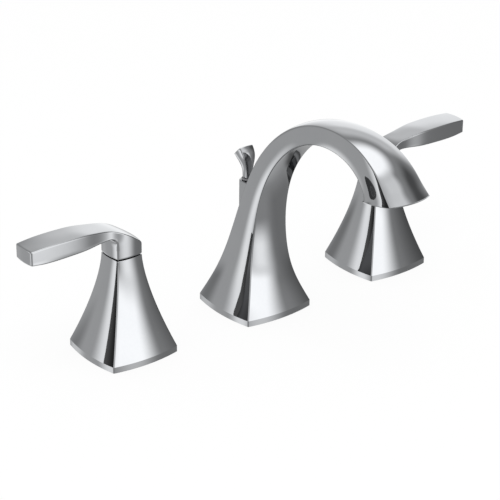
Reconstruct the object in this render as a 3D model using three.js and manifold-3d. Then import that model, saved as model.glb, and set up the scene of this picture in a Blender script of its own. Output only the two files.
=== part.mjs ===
// A widespread bathroom faucet: an arched spout between two lever handles, with the valves, pipes and
// fasteners that hold it to a counter. Millimetres, +Z up. The counter's surface is z = 0, the origin is
// under the middle of the spout's base, and the outlet faces -Y.
import * as THREE from "three";
import { mergeVertices } from "three/addons/utils/BufferGeometryUtils.js";
import Module from "manifold-3d";

const wasm = await Module();
wasm.setup();

// Driving sizes
const handleSpread = 203.2; // between the two handle axes, the common 8 inch spacing
const counterThickness = 25; // of the counter that the nuts clamp
const seatGap = 0.3; // between pieces that rest on, screw into or turn in each other
const cutOverrun = 1; // how far a cut runs past the face it opens
const castWall = 2; // of the hollow cast covers
const bowShare = 0.12; // how far a side of the four-sided covers bows out, as a share of its half length

// How finely round and bowed faces are cut
const roundSides = 20;
const smallSides = 12;
const hexSides = 6;
const bowSteps = 4;

const spout = {
  baseHalf: 24.9,
  rim: 3.9,
  reach: 126.4,
  rise: 134.2,
};
const rod = {
  behind: 8.6,
  radius: 1.9,
  spigotRadius: 1.2,
  depth: 150,
};
const boss = {
  radius: 5,
  top: 81.8,
  bottom: 20,
};
const bushing = {
  lip: 0.8,
  lipRadius: 3.7,
  wall: 0.8,
  length: 9,
};
const knob = {
  height: 17.4,
  leanBack: 4.3,
  leanDegrees: 45,
  halfWidth: 5,
  halfDepth: 4,
  socketDepth: 9.5,
  steps: 8,
};
const tube = {
  forward: 4.5,
  radius: 4.76,
  wall: 0.9,
};
const sealRing = {
  thickness: 2,
  inset: 3,
};
const shank = {
  clearance: 0.9,
  wall: 1.8,
  collarLip: 2.3,
  collar: 3,
  depth: 48,
};
const anchor = {
  thickness: 4,
  bottom: 5,
  edgeGap: 4.5,
  screwInset: 3.5,
  screwRadius: 2,
  headRadius: 3.2,
  head: 2.4,
  screwLength: 12,
  lugRadius: 3.3,
  lugTop: 18,
};
const gasket = {
  thickness: 2.5,
  edgeGap: 0.4,
  width: 2.6,
};
const outlet = {
  housingRadius: 9,
  housing: 7.4,
  recess: 0.5,
  bore: 9.5,
  housingWall: 1.3,
  insertInset: 1.3,
  insert: 5,
  washer: 1,
  washerWidth: 1.8,
};
const spoutClamp = {
  washerRadius: 23,
  washer: 2.5,
  nutRadius: 20,
  nut: 8,
};
const tee = {
  bodyRadius: 8.5,
  height: 22,
  belowShank: 3.7,
  tubeSocket: 12,
  armRadius: 7.5,
  armReach: 24,
  armBelow: 14,
  passage: 3.8,
  socketDepth: 10,
  nutRadius: 10.4,
  nut: 8,
};

const cover = {
  baseHalf: 23.33,
  topHalf: 8.69,
  rim: 3.9,
  height: 63.7,
  topPlate: 3,
  steps: 12,
};
const flarePower = 1.5; // how sharply the covers spread towards the foot
const glide = {
  innerRadius: 5.8,
  wall: 0.8,
  lipWidth: 1.9,
  lip: 1.8,
  lipProud: 0.6,
  length: 1.5,
};
const lever = {
  reach: 68.2,
  rise: 22.7,
  halfWidth: 8.9,
  tipBow: 0.8,
  socketDepth: 5.8,
  sideSteps: 22,
  planSteps: 10,
};
const setScrew = {
  radius: 1.9,
  length: 3,
  below: 0.6,
};
const adapter = {
  footClearance: 5.8,
  web: 5.5,
  counterBore: 12.5,
  counterBoreRadius: 3.6,
};
const adapterScrew = {
  radius: 1.75,
  headRadius: 3.2,
  head: 2.7,
  length: 14,
};
const valve = {
  threadRadius: 14,
  threadDepth: 46,
  threadTop: 12,
  blockRadius: 16,
  blockDepth: 70,
  inletRadius: 10.3,
  inletDepth: 90,
  inletBore: 7.5,
  inletBoreDepth: 76,
  neckRadius: 11.4,
  neckTop: 20,
  wellRadius: 9.1,
  wellDepth: 8,
  portRadius: 2.7,
  portOffset: 4.2,
  armRadius: 7.5,
  armReach: 26,
  armDepth: 62,
  passage: 3.8,
  socketDepth: 9,
};
const cartridge = {
  sealThickness: 2,
  discRadius: 7.1,
  disc: 2.8,
  driver: 3,
  shellWall: 1.3,
  shoulder: 2,
  shoulderLip: 2,
  towerRadius: 7.2,
  tower: 8,
  stemRadius: 4.2,
  splineRadius: 3.6,
  slotHalfWidth: 1.6,
};
const bonnet = {
  radius: 13.6,
  lipThickness: 2,
};
const valveClamp = {
  locknutRadius: 18.6,
  locknut: 4,
  washerRadius: 21,
  washer: 2.5,
  nutRadius: 20,
  nut: 8,
};
const crossover = {
  radius: 4.76,
  wall: 0.9,
  nutRadius: 9.2,
  nut: 9.6,
  steps: 16,
  sides: 10,
};

const chrome = { color: 0xd9dbde, roughness: 0.06, metalness: 1 };
const brass = { color: 0xc9a45c, roughness: 0.32, metalness: 1 };
const steel = { color: 0xb4b6b8, roughness: 0.35, metalness: 1 };
const copper = { color: 0xc77d52, roughness: 0.3, metalness: 1 };
const rubber = { color: 0x1d1d1f, roughness: 0.8, metalness: 0 };
const nylon = { color: 0xe6e5e0, roughness: 0.5, metalness: 0 };
const darkNylon = { color: 0x3a3b3d, roughness: 0.55, metalness: 0 };
const ceramic = { color: 0xf1f0ec, roughness: 0.2, metalness: 0 };

// Solids from three.js geometries

function solidFrom(geometry) {
  const bare = geometry.index ? geometry.toNonIndexed() : geometry.clone();
  bare.deleteAttribute("normal");
  bare.deleteAttribute("uv");
  const merged = mergeVertices(bare);
  const vertProperties = merged.attributes.position.array;
  const triVerts = new Uint32Array(merged.index.array);
  const made = new wasm.Manifold(new wasm.Mesh({ numProp: 3, vertProperties, triVerts }));
  if (made.volume() > 0) return made;
  for (let k = 0; k < triVerts.length; k += 3)
    [triVerts[k + 1], triVerts[k + 2]] = [triVerts[k + 2], triVerts[k + 1]];
  return new wasm.Manifold(new wasm.Mesh({ numProp: 3, vertProperties, triVerts }));
}

function geometryFrom(solid) {
  const { vertProperties, triVerts } = solid.getMesh();
  return new THREE.BufferGeometry()
    .setAttribute("position", new THREE.BufferAttribute(vertProperties, 3))
    .setIndex(new THREE.BufferAttribute(triVerts, 1));
}

// An upright prism with a regular outline; sides sets how round it is.
function upright(radius, bottom, top, { x = 0, y = 0, sides = roundSides } = {}) {
  const shape = new THREE.CylinderGeometry(radius, radius, top - bottom, sides);
  shape.rotateX(Math.PI / 2).translate(x, y, (top + bottom) / 2);
  return solidFrom(shape);
}

// A rod lying along X from one x to another.
function alongX(radius, from, to, { y = 0, z = 0, sides = roundSides } = {}) {
  const shape = new THREE.CylinderGeometry(radius, radius, Math.abs(to - from), sides);
  shape.rotateZ(Math.PI / 2).translate((from + to) / 2, y, z);
  return solidFrom(shape);
}

// A rod lying along Y from one y to another.
function alongY(radius, from, to, { x = 0, z = 0, sides = smallSides } = {}) {
  const shape = new THREE.CylinderGeometry(radius, radius, to - from, sides);
  return solidFrom(shape.translate(x, (from + to) / 2, z));
}

// A turned piece: the profile lists [radius, z] and closes on the axis or on itself.
function turned(profile, { x = 0, y = 0, sides = roundSides } = {}) {
  const points = profile.map(([radius, z]) => new THREE.Vector2(radius, z));
  const closed = profile[0][0] === 0 && profile.at(-1)[0] === 0 ? points : [...points, points[0].clone()];
  return solidFrom(new THREE.LatheGeometry(closed, sides).rotateX(Math.PI / 2).translate(x, y, 0));
}

// A washer-like ring.
function ring(outer, inner, bottom, top, place = {}) {
  return upright(outer, bottom, top, place).subtract(
    upright(inner, bottom - cutOverrun, top + cutOverrun, { ...place, sides: roundSides }),
  );
}

// Points round a four-sided section whose sides bow outwards, from corners given anticlockwise.
function bowedOutline(corners, bows, steps = bowSteps) {
  return corners.flatMap(([u, v], side) => {
    const [nextU, nextV] = corners[(side + 1) % corners.length];
    const length = Math.hypot(nextU - u, nextV - v);
    return Array.from({ length: steps }, (_, step) => {
      const share = step / steps;
      const bow = (bows[side] * 4 * share * (1 - share)) / length;
      return [
        u + (nextU - u) * share + (nextV - v) * bow,
        v + (nextV - v) * share - (nextU - u) * bow,
      ];
    });
  });
}

function bowedSquare(half, bow = half * bowShare) {
  return bowedOutline([[-half, -half], [half, -half], [half, half], [-half, half]], [bow, bow, bow, bow]);
}

// A closed skin through rings of points, with a flat end at the first and the last ring.
function loft(rings) {
  const count = rings[0].length;
  const positions = rings.flat().flatMap((point) => point.toArray());
  const index = [];
  for (let level = 0; level + 1 < rings.length; level++)
    for (let k = 0; k < count; k++) {
      const [a, b] = [level * count + k, level * count + ((k + 1) % count)];
      index.push(a, b, a + count, b, b + count, a + count);
    }
  for (const [start, points] of [[0, rings[0]], [(rings.length - 1) * count, rings.at(-1)]]) {
    const middle = points.reduce((sum, point) => sum.add(point), new THREE.Vector3()).divideScalar(count);
    const apex = positions.length / 3;
    positions.push(...middle.toArray());
    for (let k = 0; k < count; k++) {
      const [a, b] = [start + k, start + ((k + 1) % count)];
      index.push(...(start ? [a, b, apex] : [b, a, apex]));
    }
  }
  const shape = new THREE.BufferGeometry();
  shape.setAttribute("position", new THREE.Float32BufferAttribute(positions, 3)).setIndex(index);
  return solidFrom(shape);
}

const levelRing = (outline, z) => outline.map(([x, y]) => new THREE.Vector3(x, y, z));

// A flat outline drawn with corners and curves, pulled up from one height to another.
function pulledUp(shape, bottom, top) {
  const made = new THREE.ExtrudeGeometry(shape, { depth: top - bottom, bevelEnabled: false });
  return solidFrom(made.translate(0, 0, bottom));
}

// A value that runs smoothly through a list, from its first entry at 0 to its last at 1.
function smoothThrough(values) {
  const curve = new THREE.SplineCurve(values.map((value, k) => new THREE.Vector2(k, value)));
  return (share) => curve.getPoint(share).y;
}

// The spout's middle line and its four-sided sections, from the rim of the base to the outlet

const reachShares = smoothThrough(
  [0, 0.004, 0.017, 0.05, 0.123, 0.247, 0.4, 0.571, 0.738, 0.865, 0.942, 0.977, 1]);
const riseShares = smoothThrough(
  [0, 0.128, 0.273, 0.464, 0.672, 0.842, 0.952, 1, 0.998, 0.96, 0.905, 0.862, 0.835]);
const leanDegrees = smoothThrough([0, 2.6, 6.8, 12, 26, 43, 63, 83, 99, 118, 136, 152, 170]);
const depthShares = smoothThrough(
  [1, 0.72, 0.506, 0.361, 0.285, 0.251, 0.233, 0.24, 0.273, 0.313, 0.353, 0.394, 0.482]);
const widthShares = smoothThrough(
  [1, 0.747, 0.586, 0.484, 0.426, 0.39, 0.355, 0.365, 0.426, 0.498, 0.546, 0.577, 0.606]);
const hoodBowShares = smoothThrough(
  [0.12, 0.12, 0.12, 0.12, 0.12, 0.12, 0.13, 0.15, 0.17, 0.2, 0.23, 0.26, 0.28]);

const spoutMiddle = (share) =>
  new THREE.Vector3(0, -reachShares(share) * spout.reach, spout.rim + riseShares(share) * spout.rise);

function spoutSection(share, inset = 0) {
  const lean = THREE.MathUtils.degToRad(leanDegrees(share));
  const middle = spoutMiddle(share);
  const depth = depthShares(share) * spout.baseHalf - inset;
  const width = widthShares(share) * spout.baseHalf - inset;
  const bows = [bowShare * width, bowShare * depth, hoodBowShares(share) * width, bowShare * depth];
  return bowedOutline([[-width, -depth], [width, -depth], [width, depth], [-width, depth]], bows).map(
    ([u, v]) => new THREE.Vector3(u, middle.y + v * Math.cos(lean), middle.z + v * Math.sin(lean)),
  );
}

function spoutSections(from, to, steps, inset) {
  return Array.from({ length: steps + 1 }, (_, k) => spoutSection(from + ((to - from) * k) / steps, inset));
}

const droppedTo = (section, z) => section.map((point) => new THREE.Vector3(point.x, point.y, z));

// Shares of the spout's length at which its hollows begin and end
const dryHollowEndShare = 0.14;
const socketEndShare = 0.2;
const wetHollowStartShare = 0.22;
const wetHollowEndShare = 0.89;

const neckPassage = 3.5; // radius of the way from the tube's socket up into the neck's hollow
const skinSteps = 36;
const dryHollowSteps = 6;
const wetHollowSteps = 22;

const plateTop = anchor.bottom + anchor.thickness;
const plateHalf = spout.baseHalf - castWall - anchor.edgeGap;
const screwPlace = plateHalf - anchor.screwInset;
const anchorScrewPlaces = [[-screwPlace, -screwPlace], [screwPlace, screwPlace]];
const shankBore = rod.behind + rod.radius + shank.clearance;
const shankRadius = shankBore + shank.wall;
const rodHole = rod.radius + seatGap;
const bushingRadius = rodHole + bushing.wall;
const bushingHole = bushingRadius + seatGap;
const tubeHole = tube.radius + seatGap;
const tubeTop = spoutMiddle(socketEndShare).z - seatGap;
const teeTop = -(shank.depth + tee.belowShank + tee.nut + seatGap);
const tubeBottom = teeTop - tee.tubeSocket;

// Everything about the outlet is placed in its own frame: z into the spout, at right angles to its rim.
const outletLean = THREE.MathUtils.degToRad(leanDegrees(1) - 180);
const outletPlace = new THREE.Matrix4()
  .makeRotationX(outletLean)
  .setPosition(spoutMiddle(1).x, spoutMiddle(1).y, spoutMiddle(1).z);

function atOutlet(solid) {
  return solidFrom(geometryFrom(solid).applyMatrix4(outletPlace));
}

function bossSolid() {
  const outline = new THREE.Shape();
  outline.moveTo(-boss.radius, spoutMiddle(wetHollowStartShare).y);
  outline.lineTo(boss.radius, spoutMiddle(wetHollowStartShare).y);
  outline.lineTo(boss.radius, rod.behind);
  outline.absarc(0, rod.behind, boss.radius, 0, Math.PI, false);
  return pulledUp(outline, boss.bottom, boss.top);
}

function spoutBody() {
  const start = spoutSection(0);
  const skin = loft([droppedTo(start, 0), ...spoutSections(0, 1, skinSteps, 0)]);
  const hollowStart = spoutSection(0, castWall);
  const dryHollow = loft([
    droppedTo(hollowStart, -cutOverrun),
    ...spoutSections(0, dryHollowEndShare, dryHollowSteps, castWall),
  ]);
  const wetHollow = loft(
    spoutSections(wetHollowStartShare, wetHollowEndShare, wetHollowSteps, castWall),
  );
  const socketTop = spoutMiddle(socketEndShare).z;
  const cuts = [
    dryHollow,
    wetHollow,
    upright(tubeHole, spout.rim, socketTop, { y: -tube.forward }),
    upright(neckPassage, spout.rim, spoutMiddle(wetHollowStartShare).z + cutOverrun, { y: -tube.forward }),
    upright(rodHole, spout.rim, boss.top + cutOverrun, { y: rod.behind, sides: smallSides }),
    upright(bushingHole, boss.top - bushing.length - seatGap, boss.top + cutOverrun, {
      y: rod.behind, sides: smallSides,
    }),
    upright(boss.radius, boss.top, boss.top + bushing.lip, { y: rod.behind }),
    atOutlet(upright(outlet.housingRadius + seatGap, -cutOverrun, outlet.bore)),
  ];
  let body = skin.add(bossSolid());
  for (const cut of cuts) body = body.subtract(cut);
  const plateSeat = plateTop + seatGap;
  for (const [x, y] of anchorScrewPlaces) {
    const hole = upright(anchor.screwRadius + seatGap, 0, anchor.bottom + anchor.screwLength, {
      x, y, sides: smallSides,
    });
    const lug = upright(anchor.lugRadius, plateSeat, anchor.lugTop, { x, y, sides: smallSides });
    body = body.add(lug).subtract(hole);
  }
  return body;
}

function squareGasket(half) {
  const outer = half - castWall - gasket.edgeGap;
  const inner = outer - gasket.width;
  const block = loft([levelRing(bowedSquare(outer), 0), levelRing(bowedSquare(outer), gasket.thickness)]);
  const hole = loft([
    levelRing(bowedSquare(inner), -cutOverrun),
    levelRing(bowedSquare(inner), gasket.thickness + cutOverrun),
  ]);
  return block.subtract(hole);
}

function anchorPlate() {
  const outline = bowedSquare(plateHalf);
  let plate = loft([levelRing(outline, anchor.bottom), levelRing(outline, plateTop)]);
  plate = plate.subtract(upright(shankRadius + seatGap, 0, plateTop + cutOverrun));
  for (const [x, y] of anchorScrewPlaces)
    plate = plate.subtract(
      upright(anchor.screwRadius + seatGap, 0, plateTop + cutOverrun, { x, y, sides: smallSides }),
    );
  return plate;
}

function anchorScrew([x, y]) {
  const headTop = anchor.bottom - seatGap;
  const profile = [
    [0, headTop - anchor.head],
    [anchor.headRadius, headTop - anchor.head],
    [anchor.headRadius, headTop],
    [anchor.screwRadius, headTop],
    [anchor.screwRadius, headTop + anchor.screwLength],
    [0, headTop + anchor.screwLength],
  ];
  return turned(profile, { x, y, sides: smallSides });
}

function spoutShank() {
  const collarBottom = plateTop + seatGap;
  const profile = [
    [shankBore, -shank.depth],
    [shankRadius, -shank.depth],
    [shankRadius, collarBottom],
    [shankRadius + shank.collarLip, collarBottom],
    [shankRadius + shank.collarLip, collarBottom + shank.collar],
    [shankBore, collarBottom + shank.collar],
  ];
  return turned(profile);
}

function waterwayTube() {
  return ring(tube.radius, tube.radius - tube.wall, tubeBottom, tubeTop, { y: -tube.forward });
}

const sealTop = tubeTop - sealRing.inset;
const sealGroove = sealRing.thickness / 2;

// The tube is turned down where its O-ring sits, so that the ring lies within the tube's own radius.
function groovedTube() {
  const groove = ring(
    tube.radius + cutOverrun, tube.radius - sealGroove / 2,
    sealTop - sealRing.thickness - seatGap, sealTop + seatGap, { y: -tube.forward });
  return waterwayTube().subtract(groove);
}

function waterwaySeal() {
  return ring(
    tube.radius, tube.radius - sealGroove / 2 + seatGap / 2,
    sealTop - sealRing.thickness, sealTop, { y: -tube.forward });
}

function liftRod() {
  const shoulder = boss.top + bushing.lip;
  const profile = [
    [0, -rod.depth],
    [rod.radius, -rod.depth],
    [rod.radius, shoulder],
    [rod.spigotRadius, shoulder],
    [rod.spigotRadius, knobBottom + knob.socketDepth - seatGap],
    [0, knobBottom + knob.socketDepth - seatGap],
  ];
  return turned(profile, { y: rod.behind, sides: smallSides });
}

const bushingTop = boss.top + seatGap + bushing.lip;
const knobBottom = bushingTop + seatGap;

function rodBushing() {
  const lipBottom = boss.top + seatGap;
  const profile = [
    [rodHole, boss.top - bushing.length],
    [bushingRadius, boss.top - bushing.length],
    [bushingRadius, lipBottom],
    [bushing.lipRadius, lipBottom],
    [bushing.lipRadius, bushingTop],
    [rodHole, bushingTop],
  ];
  return turned(profile, { y: rod.behind, sides: smallSides });
}

// The knob's middle line leans back as it rises. Its points are shares of its lean and of its height.
const knobAxisShares = [[0, 0], [-0.08, 0.386], [-0.01, 0.79], [1, 1]];
const knobWidthShares = smoothThrough([0.44, 0.54, 0.85, 1]);
const knobDepthShares = smoothThrough([0.565, 0.65, 0.905, 1]);

// A four-sided finger pull that widens as it rises and leans back from the spout.
function liftKnob() {
  const [foot, low, high, head] = knobAxisShares.map(([back, up]) =>
    new THREE.Vector2(rod.behind + back * knob.leanBack, knobBottom + up * knob.height),
  );
  const axis = new THREE.CubicBezierCurve(foot, low, high, head);
  const rings = Array.from({ length: knob.steps + 1 }, (_, k) => {
    const share = k / knob.steps;
    const middle = axis.getPoint(share);
    const lean = THREE.MathUtils.degToRad(knob.leanDegrees * share ** 2);
    const width = knobWidthShares(share) * knob.halfWidth;
    const depth = knobDepthShares(share) * knob.halfDepth;
    const bows = [bowShare * width, bowShare * depth, bowShare * width, bowShare * depth];
    return bowedOutline([[-width, -depth], [width, -depth], [width, depth], [-width, depth]], bows).map(
      ([u, v]) => new THREE.Vector3(u, middle.x + v * Math.cos(lean), middle.y - v * Math.sin(lean)),
    );
  });
  return loft(rings).subtract(
    upright(rod.spigotRadius + seatGap, knobBottom - cutOverrun, knobBottom + knob.socketDepth, {
      y: rod.behind, sides: smallSides,
    }),
  );
}

function aeratorHousing() {
  const top = outlet.recess + outlet.housing;
  const inner = outlet.housingRadius - outlet.housingWall;
  return atOutlet(ring(outlet.housingRadius, inner, outlet.recess, top));
}

const insertBottom = outlet.recess + outlet.insertInset;

function aeratorInsert() {
  const radius = outlet.housingRadius - outlet.housingWall - seatGap;
  return atOutlet(upright(radius, insertBottom, insertBottom + outlet.insert));
}

function aeratorWasher() {
  const bottom = outlet.recess + outlet.housing + seatGap;
  const inner = outlet.housingRadius - outlet.washerWidth;
  return atOutlet(ring(outlet.housingRadius, inner, bottom, bottom + outlet.washer));
}

function clampWasher(radius, hole, thickness) {
  return ring(radius, hole, -counterThickness - thickness, -counterThickness);
}

function clampNut(radius, hole, washer, nut) {
  const top = -counterThickness - washer - seatGap;
  return ring(radius, hole, top - nut, top, { sides: hexSides });
}

const teeArm = { y: -tube.forward, z: teeTop - tee.armBelow };

function supplyTee() {
  const centre = { y: -tube.forward };
  let body = upright(tee.bodyRadius, teeTop - tee.height, teeTop, centre);
  body = body.add(alongX(tee.armRadius, -tee.armReach, tee.armReach, teeArm));
  body = body.subtract(upright(tubeHole, tubeBottom - seatGap, teeTop + cutOverrun, centre));
  body = body.subtract(upright(tee.passage, teeArm.z, teeTop, centre));
  body = body.subtract(alongX(tee.passage, -tee.armReach, tee.armReach, teeArm));
  for (const side of [-1, 1]) {
    const from = side * (tee.armReach - tee.socketDepth);
    const socket = alongX(crossover.radius + seatGap, from, side * (tee.armReach + cutOverrun), teeArm);
    body = body.subtract(socket);
  }
  return body;
}

function teeNut() {
  const bottom = teeTop + seatGap;
  return ring(tee.nutRadius, tubeHole, bottom, bottom + tee.nut, { y: -tube.forward, sides: hexSides });
}

// Each side's pieces are made round its own handle axis. out is -1 for the left side and 1 for the right.

function coverHalf(z) {
  const share = (cover.height - Math.max(z, cover.rim)) / (cover.height - cover.rim);
  return cover.topHalf + (cover.baseHalf - cover.topHalf) * share ** flarePower;
}

function coverRings(inset, bottom, top) {
  const flare = Array.from({ length: cover.steps + 1 }, (_, k) =>
    cover.rim + ((top - cover.rim) * k) / cover.steps,
  );
  return [bottom, ...flare].map((z) => levelRing(bowedSquare(coverHalf(z) - inset), z));
}

const glideBore = glide.innerRadius + glide.wall + seatGap;
const glideLipTop = cover.height + glide.lipProud;
const glideLipBottom = glideLipTop - glide.lip;
const glideLipRadius = glide.innerRadius + glide.lipWidth;

function escutcheon() {
  const skin = loft(coverRings(0, 0, cover.height));
  const hollow = loft(coverRings(castWall, -cutOverrun, cover.height - cover.topPlate));
  return skin
    .subtract(hollow)
    .subtract(upright(glideBore, cover.rim, cover.height + cutOverrun))
    .subtract(upright(glideLipRadius + seatGap, glideLipBottom - seatGap, cover.height + cutOverrun));
}

function glideRing() {
  const profile = [
    [glide.innerRadius, glideLipBottom - glide.length],
    [glide.innerRadius + glide.wall, glideLipBottom - glide.length],
    [glide.innerRadius + glide.wall, glideLipBottom],
    [glideLipRadius, glideLipBottom],
    [glideLipRadius, glideLipTop],
    [glide.innerRadius, glideLipTop],
  ];
  return turned(profile);
}

const hubBottom = glideLipTop + seatGap;
const adapterRadius = glide.innerRadius - seatGap;
const leverSocket = adapterRadius + seatGap;
const adapterTop = hubBottom + lever.socketDepth - seatGap;
const hubHalf = coverHalf(cover.height);
const screwHeight = adapterTop - setScrew.radius - setScrew.below;

// The lever seen from the side, as shares of its reach from the axis and of its rise above the hub's foot
const leverTopShares = [
  [-0.143, 0.29], [0, 0.612], [0.088, 0.758], [0.176, 0.855], [0.293, 0.921],
  [0.44, 0.978], [0.587, 0.996], [0.733, 1], [0.88, 0.987], [1, 0.96],
];
const leverUnderShares = [
  [1, 0.568], [0.88, 0.533], [0.733, 0.52], [0.587, 0.529], [0.44, 0.546],
  [0.293, 0.59], [0.205, 0.608], [0.127, 0.608],
];
// The arm seen from above, as shares of its reach and of its half width
const leverPlanShares = [[0, 0.86], [0.2, 0.865], [0.43, 0.96], [0.66, 1], [0.85, 0.97], [0.988, 0.92]];

function curveThrough(shares, along, across, steps) {
  const points = shares.map(([u, v]) => new THREE.Vector2(u * along, v * across));
  return new THREE.SplineCurve(points).getPoints(steps);
}

// A side outline, with heights counted from the hub's foot, spread to both sides of the lever's middle.
function sideCut(points, halfWidth) {
  const shape = new THREE.Shape(points);
  const made = new THREE.ExtrudeGeometry(shape, { depth: halfWidth * 2, bevelEnabled: false });
  return solidFrom(made.translate(0, hubBottom, -halfWidth).rotateX(Math.PI / 2));
}

function leverHandle(out) {
  const top = curveThrough(leverTopShares, lever.reach, lever.rise, lever.sideSteps);
  const under = curveThrough(leverUnderShares, lever.reach, lever.rise, lever.sideSteps);
  const [innerEnd] = top;
  const hubSide = [new THREE.Vector2(innerEnd.x, 0), ...top, new THREE.Vector2(lever.reach, 0)];
  const armSide = [...top, ...under, new THREE.Vector2(under.at(-1).x, innerEnd.y)];
  const edge = curveThrough(leverPlanShares, lever.reach, lever.halfWidth, lever.planSteps);
  const mirrored = edge.map((point) => new THREE.Vector2(point.x, -point.y)).reverse();
  const tip = new THREE.Vector2(edge.at(-1).x + lever.tipBow, 0);
  const plan = new THREE.Shape([...edge, tip, ...mirrored]);
  const ceiling = hubBottom + lever.rise + cutOverrun;
  const hub = loft([levelRing(bowedSquare(hubHalf), hubBottom), levelRing(bowedSquare(hubHalf), ceiling)]);
  const arm = pulledUp(plan, hubBottom, ceiling).intersect(sideCut(armSide, lever.halfWidth + cutOverrun));
  return facing(hub.intersect(sideCut(hubSide, hubHalf * 2)).add(arm), out)
    .subtract(upright(leverSocket, hubBottom - cutOverrun, hubBottom + lever.socketDepth))
    .subtract(alongY(setScrew.radius + seatGap, 0, hubHalf * 2, { z: screwHeight }));
}

// A solid that points along +X, turned about Z so that it points away from the spout.
function facing(solid, out) {
  return out > 0 ? solid : solidFrom(geometryFrom(solid).rotateZ(Math.PI));
}

function setScrewSolid() {
  const from = adapterRadius + seatGap;
  return alongY(setScrew.radius, from, from + setScrew.length, { z: screwHeight });
}

const wellTop = valve.neckTop;
const sealBottom = -valve.wellDepth + seatGap;
const fixedBottom = sealBottom + cartridge.sealThickness + seatGap;
const turningBottom = fixedBottom + cartridge.disc + seatGap;
const driverBottom = turningBottom + cartridge.disc + seatGap;
const driverTop = driverBottom + cartridge.driver;
const shellRadius = cartridge.discRadius + seatGap + cartridge.shellWall;
const shoulderBottom = wellTop + seatGap;
const shoulderTop = shoulderBottom + cartridge.shoulder;
const towerTop = shoulderTop + cartridge.tower;
const splineHole = cartridge.splineRadius + seatGap;
const adapterBottom = towerTop + adapter.footClearance;
const adapterWebTop = adapterTop - adapter.counterBore;
const adapterWebBottom = adapterWebTop - adapter.web;
const stemTop = adapterWebBottom - seatGap;

function handleAdapter() {
  const profile = [
    [splineHole, adapterBottom],
    [adapterRadius, adapterBottom],
    [adapterRadius, adapterTop],
    [adapter.counterBoreRadius, adapterTop],
    [adapter.counterBoreRadius, adapterWebTop],
    [adapterScrew.radius + seatGap, adapterWebTop],
    [adapterScrew.radius + seatGap, adapterWebBottom],
    [splineHole, adapterWebBottom],
  ];
  return turned(profile);
}

function adapterScrewSolid() {
  const headBottom = adapterWebTop + seatGap;
  const profile = [
    [0, headBottom - adapterScrew.length],
    [adapterScrew.radius, headBottom - adapterScrew.length],
    [adapterScrew.radius, headBottom],
    [adapterScrew.headRadius, headBottom],
    [adapterScrew.headRadius, headBottom + adapterScrew.head],
    [0, headBottom + adapterScrew.head],
  ];
  return turned(profile, { sides: smallSides });
}

function cartridgeStem() {
  const holeRadius = adapterScrew.radius + seatGap;
  const holeBottom = adapterWebTop - adapterScrew.length;
  const profile = [
    [0, driverBottom],
    [cartridge.discRadius - seatGap, driverBottom],
    [cartridge.discRadius - seatGap, driverTop],
    [cartridge.stemRadius, driverTop],
    [cartridge.stemRadius, towerTop],
    [cartridge.splineRadius, towerTop],
    [cartridge.splineRadius, stemTop],
    [holeRadius, stemTop],
    [holeRadius, holeBottom],
    [0, holeBottom],
  ];
  return turned(profile);
}

function cartridgeBody() {
  const stemHole = cartridge.stemRadius + seatGap;
  const chamberTop = driverTop + seatGap;
  const profile = [
    [cartridge.discRadius + seatGap, fixedBottom],
    [shellRadius, fixedBottom],
    [shellRadius, shoulderBottom],
    [shellRadius + cartridge.shoulderLip, shoulderBottom],
    [shellRadius + cartridge.shoulderLip, shoulderTop],
    [cartridge.towerRadius, shoulderTop],
    [cartridge.towerRadius, towerTop],
    [stemHole, towerTop],
    [stemHole, chamberTop],
    [cartridge.discRadius + seatGap, chamberTop],
  ];
  return turned(profile);
}

// A ceramic disc or the seal under it, with the two water ports through it.
function portedDisc(radius, bottom, top) {
  const ports = [-1, 1].map((side) =>
    upright(valve.portRadius, bottom - cutOverrun, top + cutOverrun, {
      x: side * valve.portOffset, sides: smallSides,
    }),
  );
  return upright(radius, bottom, top).subtract(ports[0]).subtract(ports[1]);
}

// The turning disc has one long slot. In the closed place it lies across the ports.
function turningDisc() {
  const top = turningBottom + cartridge.disc;
  const slot = new THREE.Shape();
  const half = valve.portOffset;
  slot.moveTo(-cartridge.slotHalfWidth, -half);
  slot.absarc(0, -half, cartridge.slotHalfWidth, Math.PI, 0, false);
  slot.absarc(0, half, cartridge.slotHalfWidth, 0, Math.PI, false);
  return upright(cartridge.discRadius, turningBottom, top).subtract(
    pulledUp(slot, turningBottom - cutOverrun, top + cutOverrun),
  );
}

function bonnetNut() {
  const bottom = valve.threadTop + seatGap * 2;
  const lipBottom = shoulderTop + seatGap;
  const top = lipBottom + bonnet.lipThickness;
  return upright(bonnet.radius, bottom, top, { sides: hexSides * 2 })
    .subtract(upright(valve.neckRadius + seatGap, bottom - cutOverrun, lipBottom))
    .subtract(upright(cartridge.towerRadius + seatGap, bottom, top + cutOverrun));
}

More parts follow.
